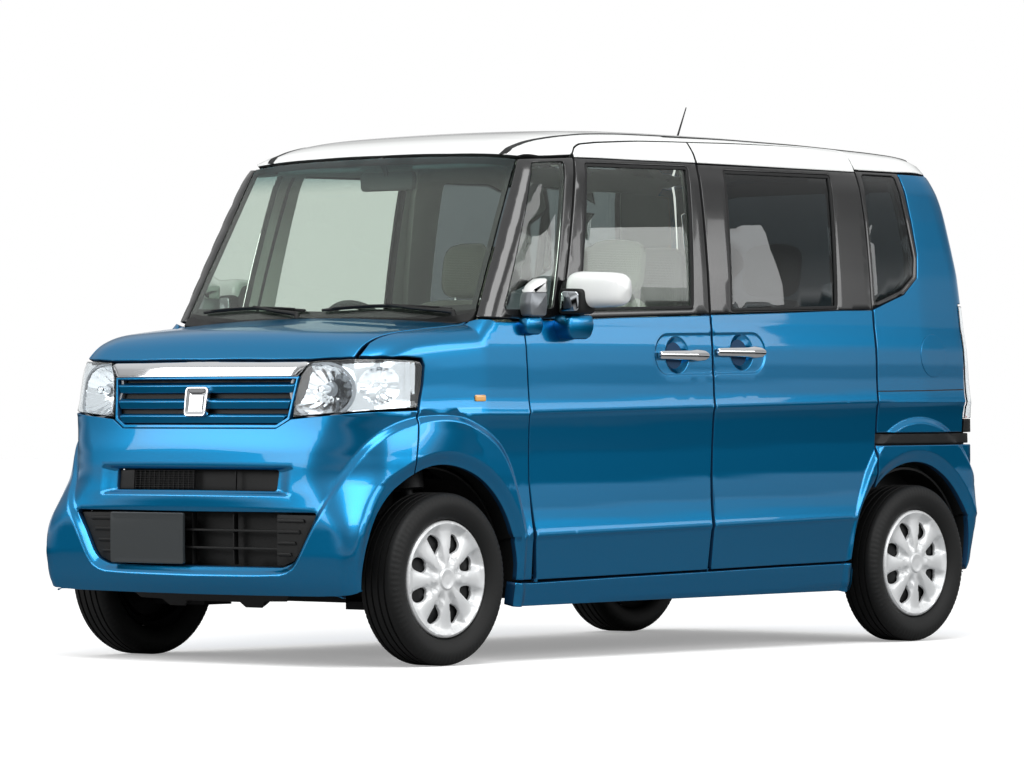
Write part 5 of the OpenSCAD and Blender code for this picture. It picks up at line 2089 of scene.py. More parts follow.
@dataclass
class RoofAndScreen:
    """White roof with its lining, and the windscreen with its dark border."""

    def outline(self) -> Points:
        """The roof's left edge in the roof map, from front middle to rear middle.

        Returns:
            The outline's left half.
        """
        front = lift(Domain.FRONT, [(0, 1679), (300, 1676), (480, 1670), (590, 1660)], True)
        pillar = lift(Domain.SIDE, [(-690, 1662), (-640, 1664), (-538, 1669)], True)
        corner = lift(Domain.SIDE, [(1012, 1674), (1040, 1672), (1262, 1672), (1440, 1671),
                                    (1486, 1671)], True)
        rear = lift(Domain.TOP, [(574, 1500), (520, 1502), (300, 1503), (0, 1503)], True)
        side = [pillar, front_seam(), rear_seam(), corner]
        return traced(Domain.ROOF, front, *side, rear)

    def build(self) -> None:
        """Make the roof, ditch mouldings, lining and windscreen."""
        half = self.outline()
        right = (half * [1, -1] + [0, math.pi * WRAPS[Domain.ROOF].radius])[::-1]
        full = np.concatenate([half, right[1:-1]])
        roof = Panel("roof_skin", Domain.ROOF, full, upper=True, skin=WHITE_PAINT,
                     edge=SEAL_RUBBER, back=LINING, flange=26, pitch=26, gap=2).build()
        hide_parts("roof")
        line = lift(Domain.TOP, [(528, -752), (534, -728), (534, -700), (538, -660),
                                 (546, -610), (556, -560), (562, -500), (564, -300), (564, 300),
                                 (560, 900), (556, 1300), (552, 1440)], True)
        strip = band(traced(Domain.ROOF, line), [7, 6.6, 6, 5.4, 4.6, 4, 3.4, 3, 3, 3, 3, 2])
        both_sides(Panel("roof_ditch_strip", Domain.ROOF, strip, upper=True, gap=0, rim=0.6,
                         sink=-1.2, flange=4, skin=SEAL_RUBBER, pitch=14))
        glass = whole(np.array([(0, 1120), (400, 1118), (651, 1124), (640, 1225), (614, 1450),
                                (592, 1652), (470, 1663), (300, 1669), (0, 1672)], float))
        hole = whole(np.array([(0, 1150), (400, 1148), (622, 1146), (612, 1225), (588, 1450),
                               (568, 1628), (470, 1638), (300, 1644), (0, 1647)], float))
        pane = Panel("windscreen_pane", Domain.FRONT, glass, upper=True, gap=2, rim=0.5,
                     sink=1, flange=5, skin=SCREEN_GLASS, back=SCREEN_GLASS,
                     pitch=60).build()
        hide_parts("windscreen")
        Panel("windscreen_border", Domain.FRONT, glass, [hole], upper=True, gap=2.5, rim=0.4,
              sink=7, flange=2, skin=SEAL_RUBBER, back=SEAL_RUBBER,
              pitch=24).build()


# --- Rear of the car ---


@dataclass
class RearEnd:
    """Tailgate, rear bumper, lamps and the fuel lid."""

    gate: tuple = ((0, 482), (300, 482), (596, 482), (598, 780), (636, 788), (637, 1198))
    window: tuple = ((0, 1168), (556, 1168), (526, 1636), (0, 1640))

    def build(self) -> None:
        """Make every piece of the rear."""
        pane_edge = dense(rounded(whole(np.array(self.window, float)), 34), 40)
        hole = traced(Domain.GATE, lift(Domain.BACK, pane_edge, True))
        top = lift(Domain.TOP, [(566, 1506), (520, 1507), (300, 1508), (0, 1508)], True)
        outline = whole(traced(Domain.GATE, lift(Domain.BACK, self.gate, True),
                               gate_seam(-2.5)[1:], top))

        def recess(p: Points) -> Points:
            """Depth of the number plate's recess.

            Args:
                p: surface points.
            Returns:
                The depths.
            """
            x, z = np.abs(p[:, 0]), p[:, 2]
            return 20 * np.minimum(step((188 - x) / 12), step(np.minimum(z - 794, 996 - z) / 12))
        guides = [self._ring(w, 794 + d, 996 - d) for w, d in ((188, 0), (182, 6), (176, 12))]
        gate = Panel("tailgate_skin", Domain.GATE, outline, [hole], upper=True, pitch=14,
                     flange=38, back=CABIN_TRIM, relief=recess,
                     guides=guides).build("tailgate_lid")
        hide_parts("tailgate")
        pane = Panel("tailgate_pane", Domain.GATE, hole, upper=True, gap=2, rim=0.5, sink=5,
                     flange=4, skin=DARK_GLASS, back=DARK_GLASS,
                     pitch=60).build("tailgate_lid")
        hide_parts("tailgate_glass")
        self._gate_fittings()
        low = lift(Domain.BACK, [(0, 228), (400, 229), (600, 232), (660, 238)])
        side = lift(Domain.SIDE, [(1655, 244), (1634, 247)])
        wheel = lift(Domain.SIDE, arc(*REAR_ARCH, -5, 132, 40))
        strip = lift(Domain.SIDE, [(1033, 625), (1033, 700), (1300, 701), (1560, 702),
                                   (1640, 703)])
        back = lift(Domain.BACK, [(604, 703), (604, 476), (0, 476)])
        half = traced(Domain.TAIL, low, side, wheel, strip, back)
        flares = flare_guides(Domain.TAIL, rear=True) + lip_guides(Domain.TAIL,
                                                                   BODY.shape.lips[1])
        skin = Panel("rear_bumper_skin", Domain.TAIL, whole(half), pitch=15, flange=20,
                     guides=flares + [line * [-1, 1] for line in flares]).build()
        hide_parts("rear_bumper")
        self._lamps()
        lid = Panel("fuel_lid_skin", Domain.SIDE, rounded(
            [(1370 + 78 * math.cos(a), 1018 + 78 * math.sin(a)) for a in
             np.linspace(0, 2 * math.pi, 40, endpoint=False)], 0), gap=1.2, rim=1.5,
            sink=-1.5, flange=5, pitch=14).build("fuel_flap")
        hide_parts("fuel_lid")

    def _ring(self, half: float, low: float, high: float) -> Points:
        """Closed line round the plate recess in the tailgate's map.

        Args:
            half: half width.
            low, high: its foot and top.
        Returns:
            The line.
        """
        corners = np.array([(-half, low), (half, low), (half, high), (-half, high),
                            (-half, low + 1)], float)
        return traced(Domain.GATE, lift(Domain.BACK, corners, True))

    def _gate_fittings(self) -> None:
        """Handle bar, plate lamps, high stop lamp and rear wiper."""
        def bar(name: str, points: Sequence, sink: float, finish: Finish, **more: float) -> None:
            """A moulding on the tailgate.

            Args:
                name: piece name.
                points: its outline seen from behind.
                sink: depth of its face.
                finish: its finish.
                more: the panel's other sizes.
            """
            flat = traced(Domain.GATE, lift(Domain.BACK, points, True))
            Panel(name, Domain.GATE, flat, upper=True, gap=0, sink=sink, skin=finish,
                  **more).build("tailgate_lid")
        bar("tailgate_handle_bar", rounded(oblong(-262, 262, 1016, 1052), 10), -16, CHROME, rim=6,
            flange=17, pitch=20)
        for i, x in enumerate((-84, 84)):
            bar(f"plate_lamp_{i}", oblong(x - 26, x + 26, 1006, 1014), -11, LENS, rim=1.5,
                flange=11, pitch=14)
        bar("high_stop_lamp", rounded([(-150, 1655), (150, 1655), (146, 1672), (-146, 1672)], 6),
            -3, RED_LENS, rim=2.5, flange=6, pitch=12)
        x = np.linspace(-300, 40, 18)
        rest = lift(Domain.BACK, np.stack([x, 1200 + 0 * x], 1), True)
        out = BODY.normals(rest, True)
        tube("rear_wiper_blade", rest + out * 6, 4, SEAL_RUBBER, "tailgate_lid", 8)
        arm = [rest[9] + out[9] * 14, rest[14] + out[14] * 20 + [0, 0, -10],
               rest[17] + out[17] * 18 + [20, 0, -62]]
        tube("rear_wiper_arm", arm, [5, 7, 11], BLACK_PLASTIC, "tailgate_lid", 10)
        lathe("rear_wiper_pivot", [(20, -6), (20, 14), (17, 20), (10, 23), (0, 24)],
              rest[17] + [20, 0, -64], BLACK_PLASTIC, "tailgate_lid", 32, "y")

    def _lamps(self) -> None:
        """Tall corner lamps: red behind, clear over bright ribs at the side, black foot."""
        side = BODY.flat(Domain.TAIL, lift(Domain.SIDE, [(1564, 1000)]))[0, 0]
        back = BODY.flat(Domain.TAIL, lift(Domain.BACK, [(642, 1000)]))[0, 0]
        split = back + (side - back) * 0.40
        clear = oblong(back, side, 795, 1200)

        def ribs(p: Points) -> Points:
            """Depth of the reflector's ribs."""
            return 3 * np.abs(np.sin(p[:, 2] / 9))
        parts = [
            Panel("tail_lamp_ribs", Domain.TAIL, oblong(split, side, 795, 1200), gap=1, sink=11,
                  flange=10, pitch=6, skin=REFLECTOR, relief=ribs),
            Panel("tail_lamp_clear", Domain.TAIL, clear, gap=1, rim=3, sink=-3, flange=4,
                  skin=LENS, back=LENS, pitch=14),
            Panel("tail_lamp_red", Domain.TAIL, oblong(back, split, 795, 1200), gap=1, rim=3,
                  sink=8, flange=16, skin=RED_LENS, pitch=8,
                  relief=lambda p: 0.8 * np.abs(np.sin(p[:, 2] / 12))),
            Panel("tail_lamp_amber", Domain.TAIL, oblong(back + 8, split - 4, 905, 968), gap=0,
                  rim=2, sink=5, flange=6, skin=AMBER_LENS, pitch=8),
            Panel("tail_lamp_foot", Domain.TAIL, oblong(back, side, 744, 794), gap=1, rim=3,
                  sink=-2, flange=24, skin=BLACK_PLASTIC, pitch=14)]
        for part in parts:
            for piece in both_sides(part):
                if part.name == "tail_lamp_red":
                    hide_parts("tail_lamps")
        strip = traced(Domain.TAIL, lift(Domain.SIDE, [(1036, 704), (1300, 704), (1650, 706),
                                                       (1650, 742), (1300, 741),
                                                       (1036, 740)]))
        rail = traced(Domain.TAIL, lift(Domain.SIDE, [(1034, 888), (1300, 891), (1558, 896),
                                                      (1558, 900), (1300, 895),
                                                      (1034, 892)]))
        both_sides(Panel("rail_cover", Domain.TAIL, strip, gap=0.5, sink=9, flange=20, pitch=14,
                         skin=BLACK_PLASTIC))
        both_sides(Panel("rail_line", Domain.TAIL, rail, gap=0, rim=0.4, sink=-0.5, flange=3,
                         skin=SEAL_RUBBER))


# --- Wheels ---


@dataclass
class Wheel:
    """Tyre, steel rim and silver eight-spoke cover of one wheel."""

    name: str
    y: float
    side: int
    body: str
    x: float = 652.5
    z: float = 278.5
    cover_r: float = 189.0
    spokes: int = 8

    def height(self, flat: Points) -> Points:
        """Height of the cover's face over flat (y, z) offsets.

        Args:
            flat: the offsets.
        Returns:
            The heights.
        """
        r, turn = np.hypot(*flat.T), np.arctan2(flat[:, 1], flat[:, 0])
        spoke = step((np.cos(turn * self.spokes) + 0.62) / 0.75)
        valley = step((r - 38) / 30) * step((184 - r) / 24)
        dish = -5 - 7 * step((r - 60) / 90) + 9 * step((r - 158) / 22)
        fan = 2.5 * np.cos(turn * self.spokes) * step((r - 60) / 60) * step((176 - r) / 20)
        hub = 5 * step((36 - r) / 5) - 2 * step((27 - r) / 3)
        edge = -7 * np.clip((r - 180) / 9, 0, 1) ** 2
        return dish - 13 * (1 - spoke) * valley + fan + hub + edge

    def _holes(self) -> list[Points]:
        """The eight egg-shaped holes between the spokes.

        Returns:
            Their outlines.
        """
        turn = np.linspace(0, 2 * math.pi, 28, endpoint=False)
        wide = 23 + 5 * np.cos(turn)
        egg = np.stack([120 + 33 * np.cos(turn), wide * np.sin(turn)], 1)
        found = []
        for k in range(self.spokes):
            a = math.pi * (2 * k + 1) / self.spokes
            found.append(egg @ np.array([[math.cos(a), math.sin(a)],
                                         [-math.sin(a), math.cos(a)]]))
        return found

    def build(self) -> None:
        """Make the tyre, rim, nuts, drum and cover."""
        centre = (self.x * self.side, self.y, self.z)
        tread = [(0, 5.5)] + [(c + d, h) for c in (-40, -14, 14, 40)
                              for d, h in ((-4, 0), (-3, 6), (3, 6), (4, 0))]
        outer = [(196, -60), (203, -66), (216, -72), (234, -76.5), (249, -76), (262, -72),
                 (269, -68), (274, -62), (277.3, -54)]
        middle = [(278.3 - h, c) for c, h in sorted(tread[1:])]
        profile = outer + middle + [(r, -c) for r, c in outer[::-1]]
        profile += [(190, 50), (190, -50)]
        low, high = 5, len(profile) - 2 - 6

        def blocks(row: int, k: int) -> float:
            """Notches between the tread's shoulder blocks.

            Args:
                row, k: row of the profile and step round it.
            Returns:
                Extra radius.
            """
            near = row in (5, 6, 7) or row in (high - 1, high, high + 1)
            return -2.6 if near and k % 4 == 0 else 0.0
        tyre = lathe(f"tyre_{self.name}", profile, centre, TYRE_RUBBER, self.body, steps=360,
                     side=self.side, ridge=blocks, closed=True)
        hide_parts(f"tyre_{self.name}")
        rim = [(188, 52), (186, 40), (176, 36), (170, 20), (168, -44), (186, -52), (189, -58)]
        lathe(f"rim_{self.name}", rim, centre, STEEL_DARK, self.body, side=self.side)
        web = [(17, 24), (60, 24), (74, 20), (92, 34), (120, 36), (150, 24), (172, 22)]
        lathe(f"disc_{self.name}", web, centre, STEEL_DARK, self.body, side=self.side)
        for k in range(4):
            a = math.radians(45 + 90 * k)
            at = (centre[0] + 24 * self.side, self.y + 50 * math.cos(a),
                  self.z + 50 * math.sin(a))
            lathe(f"nut_{self.name}_{k}", [(0, 13), (7, 13), (9.5, 10), (9.5, -4)], at,
                  CAST_ALUMINIUM, self.body, steps=6, side=self.side)
        lathe(f"drum_{self.name}", [(150, -40), (150, -8), (146, -2), (40, 0), (17, 0)],
              centre, STEEL_DARK, self.body, steps=64, side=self.side)
        disc = Disc((self.x + 66, self.y, self.z), self.height)
        turn = np.linspace(0, 2 * math.pi, 96, endpoint=False)
        circle = np.stack([np.cos(turn), np.sin(turn)], 1)
        rings = [r * circle[::2] for r in (27, 31, 36, 41, 158, 168, 180)]
        cover = Panel(f"cover_{self.name}", Domain.SIDE, self.cover_r * circle, self._holes(),
                      gap=0, rim=2.2,
                      flange=10, skin=WHEEL_SILVER, pitch=7,
                      surface=disc, guides=[np.vstack([ring, ring[:1]]) for ring in rings])
        piece = cover.build(self.body, mirrored=self.side < 0)
        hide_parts(f"wheel_{self.name}")


# --- Mirrors, wipers and aerial ---


def swung(middle: float) -> Callable:
    """Tilt that swings a mirror's flat piece outwards about the upright at a distance in x."""
    def turn(p: Points) -> Points:
        """The swung points."""
        return p + np.stack([0 * p[:, 0], (np.abs(p[:, 0]) - middle) * 0.27, 0 * p[:, 0]], 1)

    return turn


@dataclass
class Mirror:
    """Door mirror: white shell, black base, painted pod and silvered glass."""

    left: bool
    body: str

    def build(self) -> None:
        """Make the mirror's pieces on one side."""
        sign = 1 if self.left else -1
        name = "left" if self.left else "right"
        verts, faces = self._shell(sign, 740, 934)
        cap = make_piece(f"mirror_shell_{name}", verts, faces, [WHITE_PAINT], self.body,
                         angle=70)
        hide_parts(f"mirror_{name}")
        glass = rounded([(762, 1172), (908, 1176), (908, 1258), (762, 1266)], 22)
        slab(f"mirror_glass_{name}", glass * [sign, 1], (-570, -562), MIRROR_GLASS, self.body,
             "y", 2, tilt=swung(836))
        base = rounded([(-690, 1134), (-606, 1134), (-598, 1170), (-606, 1252), (-668, 1256),
                        (-694, 1200)], 20)
        span = (716, 770) if self.left else (-770, -716)
        slab(f"mirror_base_{name}", base, span, BLACK_PLASTIC, self.body, "x", 9)
        frame_edge = rounded([(744, 1136), (826, 1138), (824, 1220), (748, 1222)], 17)
        slab(f"mirror_lens_frame_{name}", frame_edge * [sign, 1], (-712, -640), BLACK_PLASTIC,
             self.body, "y", 5, tilt=swung(785))
        lens_edge = rounded([(753, 1145), (817, 1147), (815, 1211), (757, 1213)], 13)
        slab(f"mirror_lens_{name}", lens_edge * [sign, 1], (-716, -708), MIRROR_GLASS,
             self.body, "y", 2.5, tilt=swung(785))
        foot = rounded([(-700, 1054), (-600, 1056), (-580, 1098), (-588, 1136),
                        (-702, 1136), (-716, 1094)], 22)
        span = (702, 784) if self.left else (-784, -702)
        slab(f"mirror_foot_{name}", foot, span, BLUE_PAINT, self.body, "x", 11)

    def _shell(self, sign: int, low: float, high: float) -> tuple[Points, list]:
        """Rounded shell of the mirror.

        Args:
            sign: 1 for the left side, -1 for the right.
            low, high: its ends across the car.
        Returns:
            The points and faces.
        """
        rows, around = 30, 44
        verts, faces = [], []
        for i in range(rows + 1):
            t = i / rows
            x = low + (high - low) * t
            share = (x - 740) / 194
            cy = -650 + 54 * share
            hz, hy = 63 - 7 * share, 57 - 6 * share
            cap = np.clip(1 - np.abs(2 * t - 1) ** 5, 0, 1) ** 0.36
            for k in range(around):
                a = 2 * math.pi * k / around
                c, q = math.cos(a), math.sin(a)
                r = (abs(c) ** 3.2 + abs(q) ** 3.2) ** (-1 / 3.2)
                verts.append([sign * x, cy + hy * r * c * cap,
                              1218 + hz * r * q * cap])
        for i in range(rows):
            for k in range(around):
                m = (k + 1) % around
                quad = [i * around + k, i * around + m, (i + 1) * around + m,
                        (i + 1) * around + k]
                faces.append(quad if sign > 0 else quad[::-1])
        return np.array(verts), faces


@dataclass
class SmallParts:
    """Wipers, aerial, cowl and the small mirrors ahead of the doors."""

    def build(self) -> None:
        """Make the small outside parts."""
        cowl = whole(np.array([(0, -1117), (300, -1108), (500, -1091), (645, -1064),
                               (652, -1040), (640, -1005), (300, -1040), (0, -1052)], float))
        Panel("screen_cowl", Domain.TOP, cowl, gap=1, sink=9, rim=3, flange=20,
              skin=BLACK_PLASTIC, pitch=30).build()
        self._wiper("driver", (-560, -60), -70)
        self._wiper("passenger", (20, 560), 50)
        aerial = [(0, 800 + 61 * t, 1781 + 131 * t) for t in np.linspace(0, 1, 12)]
        mast = tube("aerial_mast", aerial, np.linspace(4.2, 2.0, 12), SEAL_RUBBER, "root")
        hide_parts("antenna")
        lathe("aerial_foot", [(24, -4), (23, 2), (18, 8), (9, 14), (5, 20), (0, 22)],
              (0, 800, 1779), BLACK_PLASTIC, "root", 40, "z")
        for side, name in ((1, "left"), (-1, "right")):
            pod = rounded([(-882, 1128), (-806, 1128), (-800, 1160), (-800, 1208),
                           (-880, 1208), (-890, 1170)], 10)
            span = (716, 768) if side > 0 else (-768, -716)
            slab(f"corner_mirror_{name}", pod, span, BEZEL, "root", "x", 10)
            cap = rounded([(-880, 1204), (-800, 1204), (-798, 1254), (-828, 1252),
                           (-862, 1232)], 9)
            slab(f"corner_mirror_cap_{name}", cap, span, WHITE_PAINT, "root", "x", 12)
            foot = rounded([(-884, 1070), (-812, 1068), (-800, 1098), (-806, 1128),
                            (-880, 1126), (-892, 1100)], 16)
            span = (708, 752) if side > 0 else (-752, -708)
            slab(f"corner_mirror_foot_{name}", foot, span, BLUE_PAINT, "root", "x", 10)

    def _wiper(self, name: str, reach: tuple, pivot: float) -> None:
        """One wiper arm with its blade, parked along the foot of the screen.

        Args:
            name: driver or passenger.
            reach: ends of the blade across the car.
            pivot: place of the driver's pivot across the car.
        """
        x = np.linspace(*reach, 24)
        base = lift(Domain.FRONT, [(a, 1150 + 10 * math.sin((a - reach[0]) / 160))
                                   for a in x], True)
        normal = BODY.normals(base, True)
        blade = tube(f"wiper_blade_{name}", base + normal * 8, 5, SEAL_RUBBER, "root", 8)
        if name == "driver":
            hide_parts("wipers")
        tube(f"wiper_spine_{name}", base[2:-2] + normal[2:-2] * 15, 3.5, BLACK_PLASTIC,
             "root", 8)
        foot = lift(Domain.FRONT, [(pivot if name == "driver" else 590, 1126)], True)[0]
        middle = base[12] + normal[12] * 20
        arm = [foot + [0, -22, 4], foot + [0, -24, 16],
               foot * 0.8 + middle * 0.2 + [0, -12, 12], foot * 0.4 + middle * 0.6 + [0, -4, 4],
               middle]
        tube(f"wiper_arm_{name}", arm, [11, 9, 7, 6, 5], BLACK_PLASTIC, "root", 10)


# --- Cabin ---


def leaned(origin: Sequence, lean: float) -> Callable:
    """Placing of a pad: its length along a back that leans by degrees, at an origin.

    Args:
        origin: where the pad's middle goes.
        lean: angle in degrees.
    Returns:
        A function that moves the pad's points.
    """
    c, q = math.cos(math.radians(lean)), math.sin(math.radians(lean))

    def place(p: Points) -> Points:
        """The pad's points, leaned and moved.

        Args:
            p: points in the pad's own frame.
        Returns:
            Points in the car.
        """
        x, y, z = p.T
        return np.stack([x + origin[0], y * c + z * q * -1 + origin[1],
                         y * q + z * c + origin[2]], 1)
    return place


@dataclass
class Seats:
    """Cloth seats: cushions, reclined backs, headrests on posts and bases."""

    def _seat(self, name: str, x: float, w: float, y: float, z: float, node: str) -> None:
        """One seat at a place, given by its cushion's middle and underside.

        Args:
            name: start of the piece names.
            x: middle across the car.
            w: width.
            y, z: middle and underside of the cushion.
            node: CAD node that it stands for.
        """
        cushion = pad(f"{name}_cushion", (w - 6, 476, 132), leaned((x, y - 5, z + 58), -2),
                      "root", SEAT_CLOTH, (-0.52, 0.52), 12)
        pad(f"{name}_back", (w - 8, 548, 100), leaned((x, y + 292, z + 380), 78), "root",
            SEAT_CLOTH, (-0.52, 0.52), 12)
        pad(f"{name}_headrest", (262, 196, 76), leaned((x, y + 394, z + 752), 82), "root",
            SEAT_CLOTH, (), 10, 3.4)
        for i, dx in enumerate((-55, 55)):
            tube(f"{name}_headrest_post_{i}", [(x + dx, y + 368, z + 600),
                                               (x + dx, y + 388, z + 700)], 6, CHROME, "root")
        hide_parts(node)
        base = rounded([(y - 225, z - 226), (y + 225, z - 226), (y + 215, z - 8),
                        (y - 235, z - 2)], 20)
        slab(f"{name}_base", base, (x - w / 2 + 22, x + w / 2 - 22), DARK_TRIM, "root", "x", 8)

    def build(self) -> None:
        """Make the two front seats and the divided rear seat."""
        self._seat("driver_seat", -330, 500, -330, 560, "front_seats")
        self._seat("passenger_seat", 330, 500, -330, 560, "front_seats")
        self._seat("rear_seat_left", 270, 510, 620, 570, "rear_seat")
        self._seat("rear_seat_right", -270, 510, 620, 570, "rear_seat")


@dataclass
class Dashboard:
    """Dashboard with its hood, vents and bare screen, steering wheel and inner mirror."""

    hub: tuple = (-340.0, -482.0, 1023.0)
    lean: float = 25.0

    def build(self) -> None:
        """Make the dashboard's pieces."""
        face = rounded([(-1070, 1098), (-960, 1106), (-850, 1096), (-760, 1080), (-700, 1046),
                        (-650, 965), (-650, 868), (-718, 786), (-728, 626), (-860, 604),
                        (-900, 700), (-1000, 800), (-1070, 980)], 24)
        body = slab("dashboard_moulding", face, (-570, 570), CABIN_TRIM, "root", "x", 12)
        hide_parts("dashboard")
        hood = rounded([(-848, 1088), (-700, 1076), (-668, 1098), (-690, 1128), (-780, 1136),
                        (-850, 1120)], 16)
        slab("meter_hood", hood, (-500, -190), DARK_TRIM, "root", "x", 14)
        screen = rounded(oblong(-110, 110, 960, 1064), 10)
        slab("bare_screen", screen, (-668, -650), PILLAR_GLOSS, "root", "y", 3,
             tilt=lambda p: p + np.stack([0 * p[:, 0], (1064 - p[:, 2]) * 0.55 - 22,
                                          0 * p[:, 0]], 1))
        for i, x in enumerate((-520, -160, 160, 520)):
            vent = rounded(oblong(x - 42, x + 42, 1000, 1052), 12)
            slab(f"air_vent_{i}", vent, (-690, -664), DARK_TRIM, "root", "y", 4)
        self._wheel()
        mirror = rounded([(-118, 1560), (118, 1560), (122, 1610), (112, 1624), (-112, 1624),
                          (-122, 1610)], 14)
        slab("inner_mirror", mirror, (-742, -716), DARK_TRIM, "root", "y", 8)
        tube("inner_mirror_stalk", [(0, -738, 1610), (0, -752, 1640), (0, -770, 1668)], 9,
             DARK_TRIM, "root")
        for i, x in enumerate((-310, 310)):
            visor = rounded([(x - 190, -752), (x + 190, -752), (x + 196, -640),
                             (x - 196, -640)], 20)
            slab(f"sun_visor_{i}", visor, (1640, 1652), LINING, "root", "z", 5,
                 tilt=lambda p: p + np.stack([0 * p[:, 0], 0 * p[:, 0],
                                              (p[:, 1] + 640) * 0.12], 1))

    def _turned(self, points: Points) -> Points:
        """Points of the wheel's own frame, whose axis is local Y, put on the column.

        Args:
            points: the points.
        Returns:
            The points in the car.
        """
        a = math.radians(self.lean)
        x, y, z = np.asarray(points, float).T
        return np.stack([x + self.hub[0], y * math.cos(a) - z * math.sin(a) + self.hub[1],
                         y * math.sin(a) + z * math.cos(a) + self.hub[2]], 1)

    def _wheel(self) -> None:
        """Steering wheel: rim, three spokes and a padded boss without a badge."""
        turn = np.linspace(0, 2 * math.pi, 72, endpoint=False)
        ring = np.stack([180 * np.cos(turn), 0 * turn, 180 * np.sin(turn)], 1)
        rim = tube("steering_rim", self._turned(ring), 14.5, DARK_TRIM, "steering", 14,
                   loop=True)
        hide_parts("steering_wheel")
        boss = rounded([(-62, -52), (62, -52), (74, 0), (58, 48), (-58, 48), (-74, 0)], 26)
        slab("steering_boss", boss, (-14, 14), DARK_TRIM, "steering", "y", 9,
             tilt=self._turned)
        for i, (a, w) in enumerate(((180, 15), (0, 15), (270, 18))):
            c, q = math.cos(math.radians(a)), math.sin(math.radians(a))
            flat = np.array([(50, -w), (170, -w * 0.7), (170, w * 0.7), (50, w)], float)
            spoke = flat @ np.array([[c, q], [-q, c]])
            slab(f"steering_spoke_{i}", spoke, (-7, 7), CABIN_TRIM, "steering", "y", 4,
                 tilt=self._turned)


class KeptNode(Enum):
    """CAD nodes whose shapes stay, each with the finish it gets."""

    FLOOR = ("floor_pan", UNDERSEAL)
    LINERS = ("wheel_arch_liners", BLACK_PLASTIC)
    SUSPENSION = ("front_suspension", STEEL_DARK)
    AXLE = ("rear_axle", STEEL_DARK)
    ENGINE = ("engine", CAST_ALUMINIUM)
    TANK = ("fuel_tank", BLACK_PLASTIC)
    EXHAUST = ("exhaust", STEEL_PIPE)
    KNUCKLE_LEFT = ("knuckle_left", STEEL_DARK)
    KNUCKLE_RIGHT = ("knuckle_right", STEEL_DARK)


def dress_kept_nodes() -> None:
    """Put the right finishes on the CAD nodes that stay."""
    for kept in KeptNode:
        node, finish = kept.value
        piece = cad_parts[node]
        for slot in piece.material_slots:
            slot.material = finish.material()
        if not piece.material_slots:
            piece.data.materials.append(finish.material())


# --- Studio ---


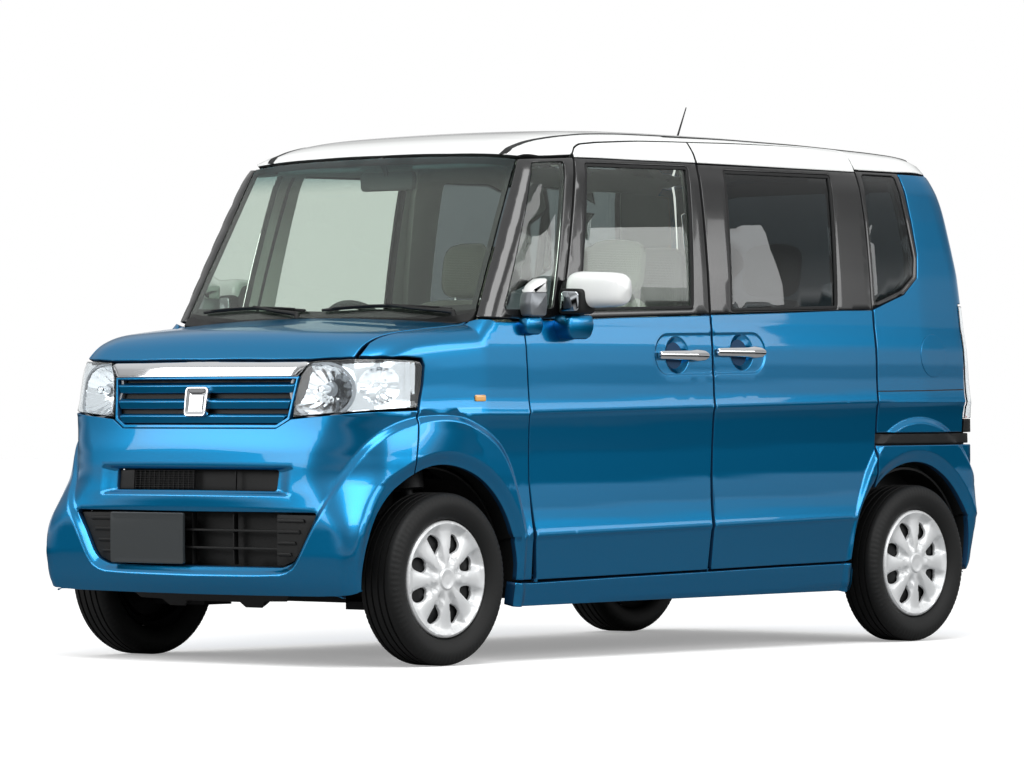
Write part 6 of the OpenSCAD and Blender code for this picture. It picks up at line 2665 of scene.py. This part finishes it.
@dataclass
class Studio:
    """Camera, plain pale floor and soft lamps."""

    place: tuple = (12.1092, -14.067, 0.8038)
    yaw: float = 40.915
    tilt: float = 0.34
    lens: float = 187.84
    floor_half: float = 60.0
    floor_z: float = -0.0005

    def build(self) -> None:
        """Set up the view, floor, world and lamps."""
        scene = bpy.context.scene
        scene.view_settings.view_transform = "Standard"
        camera = bpy.data.objects.new("studio_camera", bpy.data.cameras.new("studio_camera"))
        camera.location = self.place
        camera.rotation_euler = (math.radians(90 + self.tilt), 0, math.radians(self.yaw))
        camera.data.lens = self.lens
        camera.data.sensor_width = 36
        camera.data.clip_end = 200
        scene.collection.objects.link(camera)
        scene.camera = camera
        self._floor()
        self._world()
        self._lamp("key_softbox", (3.5, -4.5, 6.5), (5, 5), 380, (0.2, -0.6, 0.6))
        self._lamp("side_softbox", (8.0, 1.5, 3.6), (7, 2.4), 215, (0.6, 0.2, 0.8))
        self._lamp("streak_strip", (8.2, 6.3, 2.7), (5, 1.0), 52, (0.7, 0.0, 0.9))
        self._lamp("front_softbox", (-4.5, -7.0, 3.2), (4.6, 2.8), 150, (0, -1.4, 0.7))

    def _floor(self) -> None:
        """Pale floor that keeps the car's shadow and fades into the background; in reflections and
        bounced light it is grey, painted darker away from the car.
        """
        mesh = bpy.data.meshes.new("studio_floor")
        s, z = self.floor_half, self.floor_z
        mesh.from_pydata([(-s, -s, z), (s, -s, z), (s, s, z), (-s, s, z)], [], [(0, 1, 2, 3)])
        floor = bpy.data.objects.new("studio_floor", mesh)
        bpy.context.scene.collection.objects.link(floor)
        made = bpy.data.materials.new("matt_white_floor")
        made.use_nodes = True
        tree = made.node_tree
        tree.nodes.clear()
        paint = add_node(tree, "ShaderNodeBsdfDiffuse", inputs={"Color": linear("#EDEDED")})
        glow = add_node(tree, "ShaderNodeEmission", inputs={
            "Color": (1, 1, 1, 1), "Strength": 0.30})
        both = add_node(tree, "ShaderNodeAddShader",
                        inputs={0: paint.outputs[0], 1: glow.outputs[0]})
        # Seen in the paint and by bounced light, the floor is grey near the car and painted darker
        # farther away: painted shade for the lamps' fall-off
        away = add_node(tree, "ShaderNodeVectorMath", {"operation": "LENGTH"}, {
            0: add_node(tree, "ShaderNodeNewGeometry").outputs["Position"]})
        falloff_share = add_node(tree, "ShaderNodeMapRange", {"interpolation_type": "SMOOTHSTEP"}, {
            "Value": away.outputs["Value"], "From Min": 2.6, "From Max": 11.0})
        falloff_tone = add_node(tree, "ShaderNodeMix", {"data_type": "RGBA"},
                        {"Factor": falloff_share.outputs[0]})
        falloff_tone.inputs[6].default_value = linear("#8E8E8E")
        falloff_tone.inputs[7].default_value = linear("#161616")
        dull = add_node(tree, "ShaderNodeBsdfDiffuse", inputs={"Color": falloff_tone.outputs[2]})
        mix = add_node(tree, "ShaderNodeMixShader", inputs={
            0: seen_plainly(tree), 1: dull.outputs[0], 2: both.outputs[0]})
        add_node(tree, "ShaderNodeOutputMaterial", inputs={"Surface": mix.outputs[0]})
        mesh.materials.append(made)

    def _world(self) -> None:
        """White behind the car, and a soft sky that is dimmer towards the ground."""
        world = bpy.data.worlds.new("studio_world")
        bpy.context.scene.world = world
        world.use_nodes = True
        tree = world.node_tree
        tree.nodes.clear()
        place = add_node(tree, "ShaderNodeTexCoord").outputs["Generated"]
        height = add_node(tree, "ShaderNodeSeparateXYZ", inputs={"Vector": place}).outputs["Z"]
        level = add_node(tree, "ShaderNodeValToRGB", inputs={"Fac": height}).outputs["Color"]
        ramp = level.node.color_ramp
        for at, grey in ((0.0, 0.06), (0.06, 0.09), (0.15, 0.26), (0.4, 0.75), (1.0, 1.0)):
            stop = ramp.elements.new(at) if at not in (0.0, 1.0) else ramp.elements[int(at)]
            stop.color = (grey, grey, grey, 1)
        sky = add_node(tree, "ShaderNodeBackground", inputs={"Strength": level})
        white = add_node(tree, "ShaderNodeBackground", inputs={"Strength": 1.0})
        sky.inputs["Color"].default_value = white.inputs["Color"].default_value = (1, 1, 1, 1)
        mix = add_node(tree, "ShaderNodeMixShader", inputs={
            0: seen_plainly(tree), 1: sky.outputs[0], 2: white.outputs[0]})
        add_node(tree, "ShaderNodeOutputWorld", inputs={"Surface": mix.outputs[0]})

    def _lamp(self, name: str, at: tuple, size: tuple, watts: float, aim: tuple) -> None:
        """Add one soft rectangular lamp that faces a point.

        Args:
            name: object name.
            at: place in metres.
            size: width and height.
            watts: power.
            aim: the point.
        """
        data = bpy.data.lights.new(name, "AREA")
        data.shape = "RECTANGLE"
        data.size, data.size_y = size
        data.energy = watts
        lamp = bpy.data.objects.new(name, data)
        lamp.location = at
        lamp.rotation_euler = (Vector(aim) - Vector(at)).to_track_quat("-Z", "Y").to_euler()
        bpy.context.scene.collection.objects.link(lamp)


def main() -> None:
    """Build the whole car and its studio."""
    logging.basicConfig(level=logging.INFO, format="%(name)s %(message)s")
    Studio().build()
    FrontBumper().build()
    Grille().build()
    HeadLamp().build()
    FrontWings().build()
    front_door().build()
    sliding_door().build()
    BodySides().build()
    RoofAndScreen().build()
    RearEnd().build()
    for name, y, side, body in (("front_left", -1237.5, 1, "wheel_fl"),
                                ("front_right", -1237.5, -1, "wheel_fr"),
                                ("rear_left", 1282.5, 1, "wheel_rl"),
                                ("rear_right", 1282.5, -1, "wheel_rr")):
        Wheel(name, y, side, body).build()
    Mirror(True, "door_left").build()
    Mirror(False, "door_right").build()
    SmallParts().build()
    Seats().build()
    Dashboard().build()
    dress_kept_nodes()


if __name__ == "__main__":
    main()
